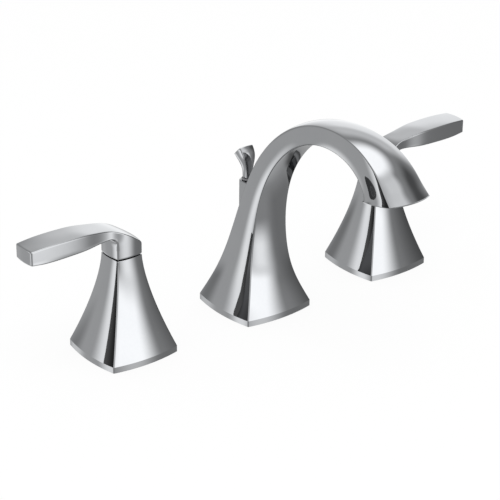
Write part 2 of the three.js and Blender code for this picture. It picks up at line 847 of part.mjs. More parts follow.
function valveBody(out) {
  const arm = { z: -valve.armDepth };
  const passages = [
    upright(valve.portRadius, -valve.inletBoreDepth - cutOverrun, sealBottom, {
      x: out * valve.portOffset, sides: smallSides,
    }),
    upright(valve.portRadius, -valve.armDepth, sealBottom, {
      x: -out * valve.portOffset, sides: smallSides,
    }),
    alongX(valve.passage, -out * valve.portOffset, -out * valve.armReach, arm),
    alongX(
      crossover.radius + seatGap,
      -out * (valve.armReach - valve.socketDepth),
      -out * (valve.armReach + cutOverrun),
      arm,
    ),
    upright(valve.inletBore, -valve.inletDepth - cutOverrun, -valve.inletBoreDepth),
    upright(valve.wellRadius, -valve.wellDepth, valve.neckTop + cutOverrun),
  ];
  const solidParts = [
    upright(valve.neckRadius, -valve.threadDepth, valve.neckTop),
    upright(valve.blockRadius, -valve.blockDepth, -valve.threadDepth, { sides: hexSides * 2 }),
    upright(valve.inletRadius, -valve.inletDepth, -valve.threadDepth),
    alongX(valve.armRadius, 0, -out * valve.armReach, arm),
  ];
  let body = upright(valve.threadRadius, -valve.threadDepth - cutOverrun, valve.threadTop);
  for (const part of solidParts) body = body.add(part);
  for (const passage of passages) body = body.subtract(passage);
  return body;
}

function deckLocknut() {
  return ring(valveClamp.locknutRadius, valve.threadRadius + seatGap, 0, valveClamp.locknut, {
    sides: hexSides * 2,
  });
}

// The pipe from the valve's arm to the tee. Its ends run straight inside the nuts and sockets.
function crossoverTube(out) {
  const axis = handleSpread / 2;
  const valveEnd = axis - valve.armReach + valve.socketDepth - seatGap;
  const teeEnd = tee.armReach - tee.socketDepth + seatGap;
  const valveBend = axis - valve.armReach - crossover.nut * 1.2;
  const teeBend = tee.armReach + crossover.nut * 1.2;
  const at = (x, y, z) => new THREE.Vector3(out * x, y, z);
  const middle = (valveBend + teeBend) / 2;
  const path = new THREE.CurvePath();
  path.add(new THREE.LineCurve3(at(valveEnd, 0, -valve.armDepth), at(valveBend, 0, -valve.armDepth)));
  path.add(new THREE.CubicBezierCurve3(
    at(valveBend, 0, -valve.armDepth), at(middle, 0, -valve.armDepth),
    at(middle, teeArm.y, teeArm.z), at(teeBend, teeArm.y, teeArm.z),
  ));
  path.add(new THREE.LineCurve3(at(teeBend, teeArm.y, teeArm.z), at(teeEnd, teeArm.y, teeArm.z)));
  const section = new THREE.Shape(circlePoints(crossover.radius, crossover.sides));
  section.holes.push(new THREE.Path(circlePoints(crossover.radius - crossover.wall, crossover.sides)));
  return solidFrom(new THREE.ExtrudeGeometry(section, { steps: crossover.steps, extrudePath: path }));
}

function circlePoints(radius, sides) {
  return Array.from({ length: sides }, (_, k) =>
    new THREE.Vector2(radius, 0).rotateAround(new THREE.Vector2(), (2 * Math.PI * k) / sides),
  );
}

function pipeNut(from, out, place) {
  const to = from + out * crossover.nut;
  const hole = alongX(
    crossover.radius + seatGap, from - out * cutOverrun, to + out * cutOverrun, place);
  return alongX(crossover.nutRadius, from, to, { ...place, sides: hexSides }).subtract(hole);
}

// The assembly

const faucet = new THREE.Group();

function addPiece(parent, name, solid, finish) {
  const mesh = new THREE.Mesh(geometryFrom(solid), new THREE.MeshStandardMaterial(finish));
  mesh.name = name;
  parent.add(mesh);
}

function addSpout() {
  const group = new THREE.Group();
  addPiece(group, "spout_body", spoutBody(), chrome);
  addPiece(group, "spout_gasket", squareGasket(spout.baseHalf), rubber);
  addPiece(group, "anchor_plate", anchorPlate(), brass);
  addPiece(group, "anchor_screw_front", anchorScrew(anchorScrewPlaces[0]), steel);
  addPiece(group, "anchor_screw_back", anchorScrew(anchorScrewPlaces[1]), steel);
  addPiece(group, "spout_shank", spoutShank(), brass);
  addPiece(group, "spout_washer", clampWasher(
    spoutClamp.washerRadius, shankRadius + seatGap, spoutClamp.washer), steel);
  addPiece(group, "spout_nut", clampNut(
    spoutClamp.nutRadius, shankRadius + seatGap, spoutClamp.washer, spoutClamp.nut), brass);
  addPiece(group, "waterway_tube", groovedTube(), copper);
  addPiece(group, "waterway_seal", waterwaySeal(), rubber);
  addPiece(group, "lift_rod", liftRod(), chrome);
  addPiece(group, "lift_knob", liftKnob(), chrome);
  addPiece(group, "rod_bushing", rodBushing(), darkNylon);
  addPiece(group, "aerator_housing", aeratorHousing(), chrome);
  addPiece(group, "aerator_insert", aeratorInsert(), nylon);
  addPiece(group, "aerator_washer", aeratorWasher(), rubber);
  addPiece(group, "supply_tee", supplyTee(), brass);
  addPiece(group, "tee_nut", teeNut(), brass);
  faucet.add(group);
}

function addSide(side, out) {
  const group = new THREE.Group();
  group.position.x = (out * handleSpread) / 2;
  const add = (name, solid, finish) => addPiece(group, `${side}_${name}`, solid, finish);
  add("escutcheon", escutcheon(), chrome);
  add("escutcheon_gasket", squareGasket(cover.baseHalf), rubber);
  add("lever", leverHandle(out), chrome);
  add("set_screw", setScrewSolid(), steel);
  add("glide_ring", glideRing(), darkNylon);
  add("handle_adapter", handleAdapter(), nylon);
  add("adapter_screw", adapterScrewSolid(), steel);
  add("cartridge_stem", cartridgeStem(), brass);
  add("cartridge_body", cartridgeBody(), nylon);
  add("turning_disc", turningDisc(), ceramic);
  add("fixed_disc", portedDisc(cartridge.discRadius, fixedBottom, fixedBottom + cartridge.disc), ceramic);
  add("cartridge_seal", portedDisc(shellRadius, sealBottom, sealBottom + cartridge.sealThickness), rubber);
  add("bonnet_nut", bonnetNut(), brass);
  add("valve_body", valveBody(out), brass);
  add("deck_locknut", deckLocknut(), brass);
  const clampBore = valve.threadRadius + seatGap;
  add("washer", clampWasher(valveClamp.washerRadius, clampBore, valveClamp.washer), steel);
  add("nut", clampNut(valveClamp.nutRadius, clampBore, valveClamp.washer, valveClamp.nut), brass);
  add("valve_pipe_nut", pipeNut(-out * (valve.armReach + seatGap), -out, { z: -valve.armDepth }), brass);
  faucet.add(group);
  addPiece(faucet, `${side}_crossover_tube`, crossoverTube(out), copper);
  addPiece(faucet, `${side}_tee_pipe_nut`, pipeNut(out * (tee.armReach + seatGap), out, teeArm), brass);
}

addSpout();
addSide("left", -1);
addSide("right", 1);

export default faucet;
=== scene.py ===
import math

import bmesh
import bpy
import numpy as np
from mathutils import Matrix, Vector


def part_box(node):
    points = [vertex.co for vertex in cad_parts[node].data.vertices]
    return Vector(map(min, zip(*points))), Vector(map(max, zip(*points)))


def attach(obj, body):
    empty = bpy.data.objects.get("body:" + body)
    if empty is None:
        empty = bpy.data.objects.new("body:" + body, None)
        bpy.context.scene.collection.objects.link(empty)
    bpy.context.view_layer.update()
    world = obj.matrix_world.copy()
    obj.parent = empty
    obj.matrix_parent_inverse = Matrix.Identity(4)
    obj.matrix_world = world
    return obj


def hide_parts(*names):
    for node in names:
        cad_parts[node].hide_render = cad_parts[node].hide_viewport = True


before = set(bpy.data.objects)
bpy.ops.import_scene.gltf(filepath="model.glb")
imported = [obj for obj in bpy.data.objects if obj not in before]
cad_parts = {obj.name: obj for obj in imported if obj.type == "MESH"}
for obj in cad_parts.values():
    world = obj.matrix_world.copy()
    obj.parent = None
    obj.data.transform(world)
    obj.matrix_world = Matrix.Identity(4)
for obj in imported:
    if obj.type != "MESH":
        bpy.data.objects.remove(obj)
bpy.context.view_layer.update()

bl_info = {
    "name": "Widespread Bathroom Faucet",
    "version": (1, 0, 0),
    "blender": (4, 5, 0),
    "location": "3D View > Sidebar > Faucet",
    "description": "Builds the polished surfaces, fittings and finishes of a widespread bathroom faucet",
    "category": "Add Mesh",
}

MM = 0.001
SIDES = (("left", -1), ("right", 1))

# Sizes in millimetres, with the shares, degrees and counts that go with them

HANDLE_AXIS = 101.6
CAST_WALL = 2.0
FIT_GAP = 0.3
BOW_SHARE = 0.12
CUT_BEYOND = 1.0  # how far a hole is cut past the face that it opens in
END_CHAMFER = 0.6
CORE = 0.01  # the small radius at which the profile of a full body starts and ends
NEAR_WALL = 0.02  # how closely a wall's points keep to its radius and its ends
EDGE_DEGREES = (0, 30, 60, 90)
CORNER_TRIM_SHARE = 0.7  # how much of its radius a rounded corner takes from each side
MOST_TRIM_SHARE = 0.3  # the largest share of a side that a corner takes
MOST_SOFTENED_SHARE = 0.45  # the largest share of a side that a softened corner takes
SMOOTH_DEGREES = 32.0

SPOUT_HALF = 24.9
SPOUT_RIM = 3.9
SPOUT_REACH = 126.4
SPOUT_RISE = 134.18
REACH_SHARES = [0, 0.004, 0.017, 0.05, 0.123, 0.247, 0.4, 0.571, 0.738, 0.865, 0.942, 0.977, 1]
RISE_SHARES = [0, 0.128, 0.273, 0.464, 0.672, 0.842, 0.952, 1, 0.998, 0.96, 0.905, 0.862, 0.835]
LEAN_DEGREES = [0, 2.6, 6.8, 12, 26, 43, 63, 83, 99, 118, 136, 152, 170]
DEPTH_SHARES = [1, 0.72, 0.506, 0.361, 0.285, 0.251, 0.233, 0.24, 0.273, 0.313, 0.353, 0.394, 0.482]
WIDTH_SHARES = [1, 0.747, 0.586, 0.484, 0.426, 0.39, 0.355, 0.365, 0.426, 0.498, 0.546, 0.577, 0.606]
HOOD_BOW_SHARES = [0.12, 0.12, 0.12, 0.12, 0.12, 0.12, 0.13, 0.15, 0.17, 0.2, 0.23, 0.26, 0.28]
HOLLOW_END_SHARE = 0.14
HOLLOW_RINGS = 8
OUTLET_LIP = 0.5

ROD_BEHIND = 8.6
ROD_RADIUS = 1.9
ROD_SPIGOT_RADIUS = 1.2
ROD_DEPTH = 150.0
BOSS_RADIUS = 5.0
BOSS_TOP = 81.8
BOSS_BOTTOM = 32.0
BOSS_FRONT_SHARE = 0.3
BOSS_ROUNDING = 0.7
BOSS_ARC_STEPS = 40
ROD_HOLE_START = SPOUT_RIM + 5.0
ROD_HOLE_END = BOSS_TOP + 5.0
BUSHING_LIP = 0.8
BUSHING_LIP_RADIUS = 3.7
BUSHING_WALL = 0.8
BUSHING_LENGTH = 9.0
KNOB_HEIGHT = 17.38
KNOB_LEAN_BACK = 4.3
KNOB_LEAN_DEGREES = 45.0
KNOB_HALF_WIDTH = 5.0
KNOB_HALF_DEPTH = 4.0
KNOB_SOCKET = 9.5
KNOB_HEAD_ROUNDING = 0.35
KNOB_EDGE_SHARE = 0.8
KNOB_FOOT_STEPS = [(0.2, 0), (0.06, 0.08), (0, 0.2)]  # the foot's rounding: how far in, and how far up
KNOB_FIRST_SHARE = 0.03
KNOB_RINGS = 36
KNOB_AXIS_SHARES = [(0, 0), (-0.08, 0.386), (-0.01, 0.79), (1, 1)]
KNOB_WIDTH_SHARES = [0.44, 0.54, 0.85, 1]
KNOB_DEPTH_SHARES = [0.565, 0.65, 0.905, 1]

COVER_HALF = 23.33
COVER_TOP_HALF = 8.69
COVER_RIM = 3.9
COVER_HEIGHT = 63.7
COVER_TOP_PLATE = 3.0
COVER_LIP = 0.2
COVER_RINGS = 56
COVER_HOLLOW_RINGS = 20
FLARE_POWER = 1.5
GLIDE_BORE = 6.9
GLIDE_INNER = 5.8
GLIDE_WALL = 0.8
GLIDE_LIP_RADIUS = 7.7
GLIDE_LIP = 1.8
GLIDE_PROUD = 0.6

HUB_FOOT = COVER_HEIGHT + GLIDE_PROUD + FIT_GAP
LEVER_REACH = 68.17
LEVER_RISE = 22.7
LEVER_HALF_WIDTH = 8.9
LEVER_SOCKET_RADIUS = 5.8
LEVER_SOCKET = 5.8
LEVER_TOP_SHARES = [
    (-0.143, 0.29), (0, 0.612), (0.088, 0.758), (0.176, 0.855), (0.293, 0.921),
    (0.44, 0.978), (0.587, 0.996), (0.733, 1), (0.88, 0.987), (1, 0.96),
]
LEVER_UNDER_SHARES = [
    (0.127, 0.608), (0.205, 0.608), (0.293, 0.59), (0.44, 0.546),
    (0.587, 0.529), (0.733, 0.52), (0.88, 0.533), (1, 0.568),
]
# The handle's side walls seen from above, from the hub's inner end to the tip
LEVER_PLAN_SHARES = [
    (-0.143, 0.945), (-0.127, 0.976), (-0.063, 1.064), (0, 1.093), (0.06, 1.066), (0.127, 0.955),
    (0.176, 0.882), (0.235, 0.863), (0.43, 0.96), (0.66, 1), (0.85, 0.97), (1, 0.92),
]
LEVER_BEND_RADIUS = 4.2
LEVER_FOOT_STEPS = [(0.3, 0.25), (0.21, 0.075)]  # the foot's rounding: how far down, and how far in
LEVER_FOOT_ROUNDING = 0.3
LEVER_TIP_ROUNDING = 0.5
LEVER_TIP_SHARES = (0.92, 0.75, 0.5, 0.25, 0.05)
HUB_TOP = 70.2
KNEE_DROP = 1.3
KNEE_RUN = 2.0
CREST_START = 2.4
# Heights, or places along the lever, between which one form goes over into the next
WALL_BLEND = (73.5, 79.5)
LOWER_BOW_BLEND = (72, 78.4)
UPPER_BOW_BLEND = (-COVER_TOP_HALF, 6)
CROWN_BLEND = (-8, 10)
TIP_BOW_BLEND = (58, LEVER_REACH)
HUB_RINGS = 8
BEND_STEPS = 24
KNEE_STEPS = 8
CREST_POINTS = 40
FAN_RINGS = 44
ARM_RINGS = 64
LEVER_CROWN = 0.3
LEVER_TIP_BOW = 0.8
SET_SCREW_RADIUS = 1.9
SET_SCREW_HEIGHT = 67.6
SET_SCREW_START = 5.8
SET_SCREW_LENGTH = 3.0
SET_SCREW_HOLE = 20.0
SET_SCREW_KEY = 1.0
SET_SCREW_KEY_START = 1.2
HANDLE_SCREW_RADIUS = 1.75
HANDLE_SCREW_HEAD = 3.2

OUTLET_HOUSING_RADIUS = 9.0
OUTLET_HOUSING = 7.4
OUTLET_RECESS = 0.5
OUTLET_BORE = 9.5
OUTLET_WALL = 1.3
INSERT_INSET = 1.3
INSERT_DEPTH = 5.0
HONEYCOMB_SPACING = 1.55
HONEYCOMB_HOLE = 0.72
HONEYCOMB_ROWS = 13
HONEYCOMB_EDGE_SHARE = 2.1  # how many hole radii a hole's middle stays away from the plate's edge

TUBE_FORWARD = 4.5
TUBE_RADIUS = 4.76
TUBE_BORE = TUBE_RADIUS + FIT_GAP
TUBE_WALL = 0.9
TUBE_TOP = 50.0
SEAL_INSET = 3.0
SEAL_THICKNESS = 2.0
SEAL_GROOVE = 0.5

ANCHOR_PLACE = 14.9
ANCHOR_LUG_RADIUS = 3.3
ANCHOR_LUG_BOTTOM = 9.3
ANCHOR_LUG_TOP = 18.0
ANCHOR_SCREW_RADIUS = 2.0
ANCHOR_HEAD_RADIUS = 3.2
ANCHOR_HEAD = 2.4
ANCHOR_HOLE_TOP = 17.0

SHANK_BORE = 11.4
SHANK_RADIUS = 13.2
SHANK_COLLAR_RADIUS = 15.5
SHANK_COLLAR_BOTTOM = 9.3
SHANK_THREAD_TOP = SHANK_COLLAR_BOTTOM - 4.0

TEE_RADIUS = 8.5
TEE_ARM_RADIUS = 7.5
TEE_ARM_REACH = 24.0
TEE_ARM_BELOW = 14.0
TEE_SOCKET_START = TEE_ARM_REACH - 10.0
PASSAGE_RADIUS = 3.8

VALVE_THREAD_RADIUS = 14.0
VALVE_THREAD_TOP = 12.0
VALVE_THREAD_DEPTH = 46.0
VALVE_BLOCK_RADIUS = 16.0
VALVE_BLOCK_DEPTH = 70.0
VALVE_INLET_RADIUS = 10.3
VALVE_INLET_DEPTH = 90.0
VALVE_INLET_BORE = 7.5
VALVE_INLET_BORE_DEPTH = 76.0
VALVE_NECK_RADIUS = 11.4
VALVE_NECK_TOP = 20.0
VALVE_WELL_RADIUS = 9.1
VALVE_WELL_DEPTH = 8.0
VALVE_PORT_RADIUS = 2.7
VALVE_PORT_OFFSET = 4.2
VALVE_ARM_REACH = 26.0
VALVE_ARM_DEPTH = 62.0
VALVE_SOCKET = 9.0
VALVE_THREAD_CHAMFER = 0.7
VALVE_SHOULDER_DEPTH = VALVE_THREAD_DEPTH + 3.0
VALVE_THREAD_BOTTOM = 1.0 - VALVE_THREAD_DEPTH
VALVE_INLET_TOP_DEPTH = VALVE_BLOCK_DEPTH + 1.0

PIPE_NUT = 9.6
PIPE_BEND_START = 1.2
PIPE_STEPS = 32
PIPE_SIDES = 32

THREAD_PITCH = 1.5
THREAD_DEPTH = 0.62
SCREW_PITCH = 0.8
SCREW_THREAD_DEPTH = 0.32
THREAD_RINGS = 6  # rings of points to each turn of a thread
PLAIN_NECK = 0.4

# How far the corners of the turned pieces are softened
SOFT = 0.25
TIP_SOFT = 0.1
TUBE_SOFT = 0.15
LIP_SOFT = 0.2
ROD_SOFT = 0.3
HEAD_SOFT = 0.35
ARM_SOFT = 0.5
TEE_SOFT = 0.6

# Shares of a screw's radius, of its head's radius and of its head's height
SCREW_TIP_SHARE = 0.7
SCREW_TAPER_SHARE = 0.3
HEAD_BEARING_SHARE = 0.8
KEY_RADIUS_SHARE = 0.5
KEY_DEPTH_SHARE = 0.6

# Shares of a nut's radius, and the slope on its corners in degrees
NUT_FLAT_SHARE = 0.985
NUT_PROUD_SHARE = 1.02
NUT_CHAMFER_DEGREES = 30.0


# Curves and outlines

def spline(knots, values):
    """A smooth curve through the values, as a function of the place between the knots."""
    x, y = np.asarray(knots, float), np.asarray(values, float)
    step = np.diff(x)
    size = len(x)
    system, target = np.eye(size), np.zeros(size)
    for k in range(1, size - 1):
        system[k, k - 1 : k + 2] = step[k - 1], 2 * (step[k - 1] + step[k]), step[k]
        target[k] = 6 * ((y[k + 1] - y[k]) / step[k] - (y[k] - y[k - 1]) / step[k - 1])
    bend = np.linalg.solve(system, target)

    def at(place):
        k = int(np.clip(np.searchsorted(x, place) - 1, 0, size - 2))
        left, right = x[k + 1] - place, place - x[k]
        return float(
            (bend[k] * left**3 + bend[k + 1] * right**3) / (6 * step[k])
            + (y[k] / step[k] - bend[k] * step[k] / 6) * left
            + (y[k + 1] / step[k] - bend[k + 1] * step[k] / 6) * right
        )

    return at


def even_spline(values):
    return spline(np.linspace(0, 1, len(values)), values)


def spline_through(shares, along, across, lift=0.0):
    points = np.array(shares)
    return spline(points[:, 0] * along, points[:, 1] * across + lift)


def smooth_step(value, start, end):
    share = min(max((value - start) / (end - start), 0.0), 1.0)
    return share * share * (3 - 2 * share)


def curved(start, middle, end, t):
    """A point on the curve between two points that leans towards the middle one."""
    return start * (1 - t) ** 2 + middle * 2 * t * (1 - t) + end * t * t


def cubic_parts(t):
    """How much each of a curve's four points counts, this far along it."""
    return (1 - t) ** 3, 3 * t * (1 - t) ** 2, 3 * t * t * (1 - t), t**3


def rectangle(width, depth):
    return [(-width, -depth), (width, -depth), (width, depth), (-width, depth)]


def side_point(corners, bows, side, share):
    """A point on one bowed side of an outline, and the direction of the side there."""
    start, end = np.array(corners[side]), np.array(corners[(side + 1) % len(corners)])
    along = end - start
    outwards = np.array((along[1], -along[0])) / np.hypot(*along)
    point = start + along * share + outwards * 4 * bows[side] * share * (1 - share)
    return point, along + outwards * 4 * bows[side] * (1 - 2 * share)


def rounded_corner(before, after, steps):
    """Points of the small arc between two sides, without its own ends."""
    (p, p_way), (q, q_way) = before, after
    cross = p_way[0] * q_way[1] - p_way[1] * q_way[0]
    gap = q - p
    reach = (gap[0] * q_way[1] - gap[1] * q_way[0]) / cross
    corner = p + p_way * reach
    turn = math.atan2(cross, float(np.dot(p_way, q_way)))
    weight = math.cos(turn / 2)
    points = []
    for k in range(1, steps):
        t = k / steps
        parts = (1 - t) ** 2, 2 * weight * t * (1 - t), t * t
        points.append((p * parts[0] + corner * parts[1] + q * parts[2]) / sum(parts))
    return points


def bowed_outline(corners, bows, radius, side_steps, corner_steps=4):
    """An anticlockwise outline whose sides bow outwards and whose corners are rounded."""
    sides = len(corners)
    spans = []
    for side in range(sides):
        start, end = np.array(corners[side]), np.array(corners[(side + 1) % sides])
        spans.append(min(CORNER_TRIM_SHARE * radius / np.hypot(*(end - start)), MOST_TRIM_SHARE))
    points = []
    for side in range(sides):
        trim = spans[side]
        shares = np.linspace(trim, 1 - trim, side_steps + 1)
        points += [side_point(corners, bows, side, share)[0] for share in shares]
        after = (side + 1) % sides
        points += rounded_corner(
            side_point(corners, bows, side, 1 - trim),
            side_point(corners, bows, after, spans[after]),
            corner_steps,
        )
    return np.array(points)


def bowed_square(half, radius, side_steps):
    return bowed_outline(rectangle(half, half), [half * BOW_SHARE] * 4, radius, side_steps)


def edge_steps(radius):
    """The steps round a small rounded edge: how far in each one lies, and how far back from the end."""
    turns = [math.radians(degrees) for degrees in EDGE_DEGREES]
    return [(radius * (1 - math.cos(turn)), radius * (1 - math.sin(turn))) for turn in turns]


def flat_sided(radius, sides, phase=0.0):
    """The corners of a regular outline round the origin."""
    angles = phase + 2 * np.pi * np.arange(sides) / sides
    return np.array([(radius * math.cos(a), radius * math.sin(a)) for a in angles])


def level(outline, z):
    return [(u, v, z) for u, v in outline]


def circle_like(outline, radius):
    """A circle whose points lie at the same angles as the outline's points."""
    lengths = np.hypot(outline[:, 0], outline[:, 1])
    return outline * (radius / lengths)[:, None]


def softened(profile, radius, closed=True, steps=3):
    """The profile with each corner rounded, as far as its shorter side allows."""
    points = [np.array(p, float) for p in profile]
    made = []
    for k, point in enumerate(points):
        if not closed and k in (0, len(points) - 1):
            made.append(point)
            continue
        before, after = points[k - 1], points[(k + 1) % len(points)]
        arms = [before - point, after - point]
        reach = min(radius, *(MOST_SOFTENED_SHARE * np.hypot(*arm) for arm in arms))
        start, end = (point + arm * reach / np.hypot(*arm) for arm in arms)
        made += [curved(start, point, end, step / steps) for step in range(steps + 1)]
    return made


# Meshes

def new_object(name, vertices, faces):
    mesh = bpy.data.meshes.new(name)
    mesh.from_pydata([tuple(np.asarray(v, float) * MM) for v in vertices], [], faces)
    mesh.update()
    made = bpy.data.objects.new(name, mesh)
    bpy.context.scene.collection.objects.link(made)
    return made


def mark_sharp(made, edges):
    wanted = {tuple(sorted(edge)) for edge in edges}
    for edge in made.data.edges:
        edge.use_edge_sharp = tuple(sorted(edge.vertices)) in wanted


def skin(name, rings, looped=False, creases=()):
    """One closed body through rings of points, capped at both ends or joined into a loop."""
    count, levels = len(rings[0]), len(rings)
    vertices = [point for ring in rings for point in ring]
    faces = []
    for k in range(levels if looped else levels - 1):
        low, high = k * count, ((k + 1) % levels) * count
        for a in range(count):
            b = (a + 1) % count
            faces.append((low + a, low + b, high + b, high + a))
    if not looped:
        for start, order in ((0, -1), ((levels - 1) * count, 1)):
            apex = len(vertices)
            vertices.append(np.mean(np.array(vertices[start : start + count]), axis=0))
            for a in range(count):
                pair = (start + a, start + (a + 1) % count)[::order]
                faces.append((*pair, apex))
    made = new_object(name, vertices, faces)
    mark_sharp(made, [(k * count + a, k * count + (a + 1) % count) for k in creases for a in range(count)])
    return made


def turned(name, profile, x=0.0, y=0.0, sides=64, closed=True):
    """A body turned about an upright axis from (radius, height) points, listed anticlockwise."""
    rings = [[(x + u, y + v, height) for u, v in flat_sided(radius, sides)] for radius, height in profile]
    return skin(name, rings, looped=closed)


def rod_along(name, radius, start, end, sides=48):
    """A plain rod between two points: round, or flat-sided where few sides are asked for."""
    start, end = Vector(start), Vector(end)
    place = Matrix.Translation(start) @ (end - start).to_track_quat("Z", "Y").to_matrix().to_4x4()
    heights = (0.0, (end - start).length)
    return skin(name, [[place @ Vector((u, v, z)) for u, v in flat_sided(radius, sides)] for z in heights])


def evaluated_mesh(made):
    """The object's own mesh with its modifiers worked in."""
    graph = bpy.context.evaluated_depsgraph_get()
    graph.update()
    mesh = bpy.data.meshes.new_from_object(made.evaluated_get(graph))
    old = made.data
    made.modifiers.clear()
    made.data = mesh
    bpy.data.meshes.remove(old)
    mesh.name = made.name


def combine(made, other, operation):
    cut = made.modifiers.new("Cut", "BOOLEAN")
    cut.operation = operation
    cut.solver = "EXACT"
    cut.object = other
    evaluated_mesh(made)
    bpy.data.objects.remove(other)


def drill(made, radius, start, end, sides=48):
    """Cuts a hole with the form of a plain rod between two points."""
    combine(made, rod_along("hole", radius, start, end, sides), "DIFFERENCE")


def move(made, x, y, z=0.0):
    made.data.transform(Matrix.Translation((x * MM, y * MM, z * MM)))


def box_mm(node):
    """The lowest and the highest corner of a solid, in millimetres."""
    return [np.array(corner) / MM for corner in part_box(node)]


def upright_place(node):
    """The middle of a solid seen from above, its lowest and highest point, and its half width."""
    low, high = box_mm(node)
    x, y = (low[:2] + high[:2]) / 2
    return x, y, low[2], high[2], (high[1] - low[1]) / 2


def ring_profile(inner, outer, bottom, top, soft=SOFT):
    return softened([(inner, bottom), (outer, bottom), (outer, top), (inner, top)], soft)


def bar_profile(radius, bottom, top, soft=SOFT):
    return softened([(CORE, bottom), (radius, bottom), (radius, top), (CORE, top)], soft, closed=False)


def laid_along_x(made, start, out):
    """Lays an upright body, built on the origin, along X from the start point."""
    turn = Matrix(((0, 0, out, 0), (0, out, 0, 0), (-1, 0, 0, 0), (0, 0, 0, 1)))
    made.data.transform(Matrix.Translation(Vector(start) * MM) @ turn)


def chamfered_prism(name, radius, sides, bottom, top, phase):
    """A flat-sided bar whose corners are turned off at both ends."""
    prism = skin(name, [level(flat_sided(radius, sides, phase), z) for z in (bottom, top)])
    flat = radius * math.cos(math.pi / sides) * NUT_FLAT_SHARE
    proud = radius * NUT_PROUD_SHARE
    chamfer = (proud - flat) * math.tan(math.radians(NUT_CHAMFER_DEGREES))
    crown = turned("crown", [
        (CORE, bottom), (flat, bottom), (proud, bottom + chamfer),
        (proud, top - chamfer), (flat, top), (CORE, top)], sides=72, closed=False)
    combine(prism, crown, "INTERSECT")
    return prism


def cut_rings(made, radius, bottom, top, spacing):
    """Divides the plain round wall between two heights into many rings."""
    solid = bmesh.new()
    solid.from_mesh(made.data)
    walls = []
    for edge in solid.edges:
        ends = [np.array(v.co) / MM for v in edge.verts]
        on_wall = all(abs(math.hypot(end[0], end[1]) - radius) < NEAR_WALL for end in ends)
        heights = sorted(end[2] for end in ends)
        if on_wall and abs(heights[0] - bottom) < NEAR_WALL and abs(heights[1] - top) < NEAR_WALL:
            walls.append(edge)
    if not walls:
        raise RuntimeError(f"{made.name} has no plain wall for its thread")
    bmesh.ops.subdivide_edges(solid, edges=walls, cuts=int((top - bottom) / spacing), use_grid_fill=True)
    solid.to_mesh(made.data)
    solid.free()


def polish(made):
    """Smooth shading that keeps the broad faces true right up to their edges."""
    mesh = made.data
    kept = [edge.use_edge_sharp for edge in mesh.edges]
    mesh.shade_smooth()
    mesh.set_sharp_from_angle(angle=math.radians(SMOOTH_DEGREES))
    for edge, sharp in zip(mesh.edges, kept):
        edge.use_edge_sharp = edge.use_edge_sharp or sharp
    weighted = made.modifiers.new("Weighted", "WEIGHTED_NORMAL")
    weighted.keep_sharp = True
    evaluated_mesh(made)


def finish_piece(made, material, body, slot, *nodes):
    """Shades the piece, gives it its finish, and puts it in place of its solids."""
    polish(made)
    made.data.materials.clear()
    made.data.materials.append(material)
    heights = [v.co.z for v in made.data.vertices]
    made.visible_glossy = min(heights) > -MM  # the metal above the floor mirrors nothing under it
    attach(made, body)
    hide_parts(*nodes)


# Shader building

def put(tree, kind, values=None, **settings):
    """Adds a node, sets it up, and links or fills the inputs that are named."""
    node = tree.nodes.new(kind)
    for key, value in settings.items():
        setattr(node, key, value)
    for key, value in (values or {}).items():
        if isinstance(value, bpy.types.NodeSocket):
            tree.links.new(value, node.inputs[key])
        else:
            node.inputs[key].default_value = value
    return node


def maths(tree, operation, *values):
    return put(tree, "ShaderNodeMath", dict(enumerate(values)), operation=operation).outputs[0]


def vector_maths(tree, operation, values, result="Vector"):
    return put(tree, "ShaderNodeVectorMath", values, operation=operation).outputs[result]


def blend(tree, share, low, high):
    return put(tree, "ShaderNodeMix", {0: share, 2: low, 3: high}, data_type="FLOAT").outputs[0]


def object_place(tree):
    return put(tree, "ShaderNodeTexCoord").outputs["Object"]


def group_of(name, inputs, outputs):
    """An empty shader group with the named sockets."""
    made = bpy.data.node_groups.new(name, "ShaderNodeTree")
    for label, kind, value in inputs:
        socket = made.interface.new_socket(label, in_out="INPUT", socket_type=kind)
        socket.default_value = value
    for label, kind in outputs:
        made.interface.new_socket(label, in_out="OUTPUT", socket_type=kind)
    return made, made.nodes.new("NodeGroupInput"), made.nodes.new("NodeGroupOutput")


def mottle_group():
    """Slow and fine unevenness of a surface: a tone from 0 to 1 and a height."""
    tree, given, out = group_of(
        "Mottle",
        [("Scale", "NodeSocketFloat", 40.0), ("Fine Share", "NodeSocketFloat", 0.35)],
        [("Tone", "NodeSocketFloat"), ("Height", "NodeSocketFloat")],
    )
    place = object_place(tree)
    slow = put(tree, "ShaderNodeTexNoise", {"Vector": place, "Scale": given.outputs[0], "Detail": 3.0})
    fine_scale = maths(tree, "MULTIPLY", given.outputs[0], 14.0)
    fine = put(tree, "ShaderNodeTexNoise", {"Vector": place, "Scale": fine_scale, "Detail": 2.0})
    tone = blend(tree, given.outputs[1], slow.outputs[0], fine.outputs[0])
    spread = put(tree, "ShaderNodeMapRange", {
        "Value": tone, "From Min": 0.3, "From Max": 0.7}, interpolation_type="SMOOTHSTEP")
    tree.links.new(spread.outputs[0], out.inputs[0])
    tree.links.new(tone, out.inputs[1])
    return tree


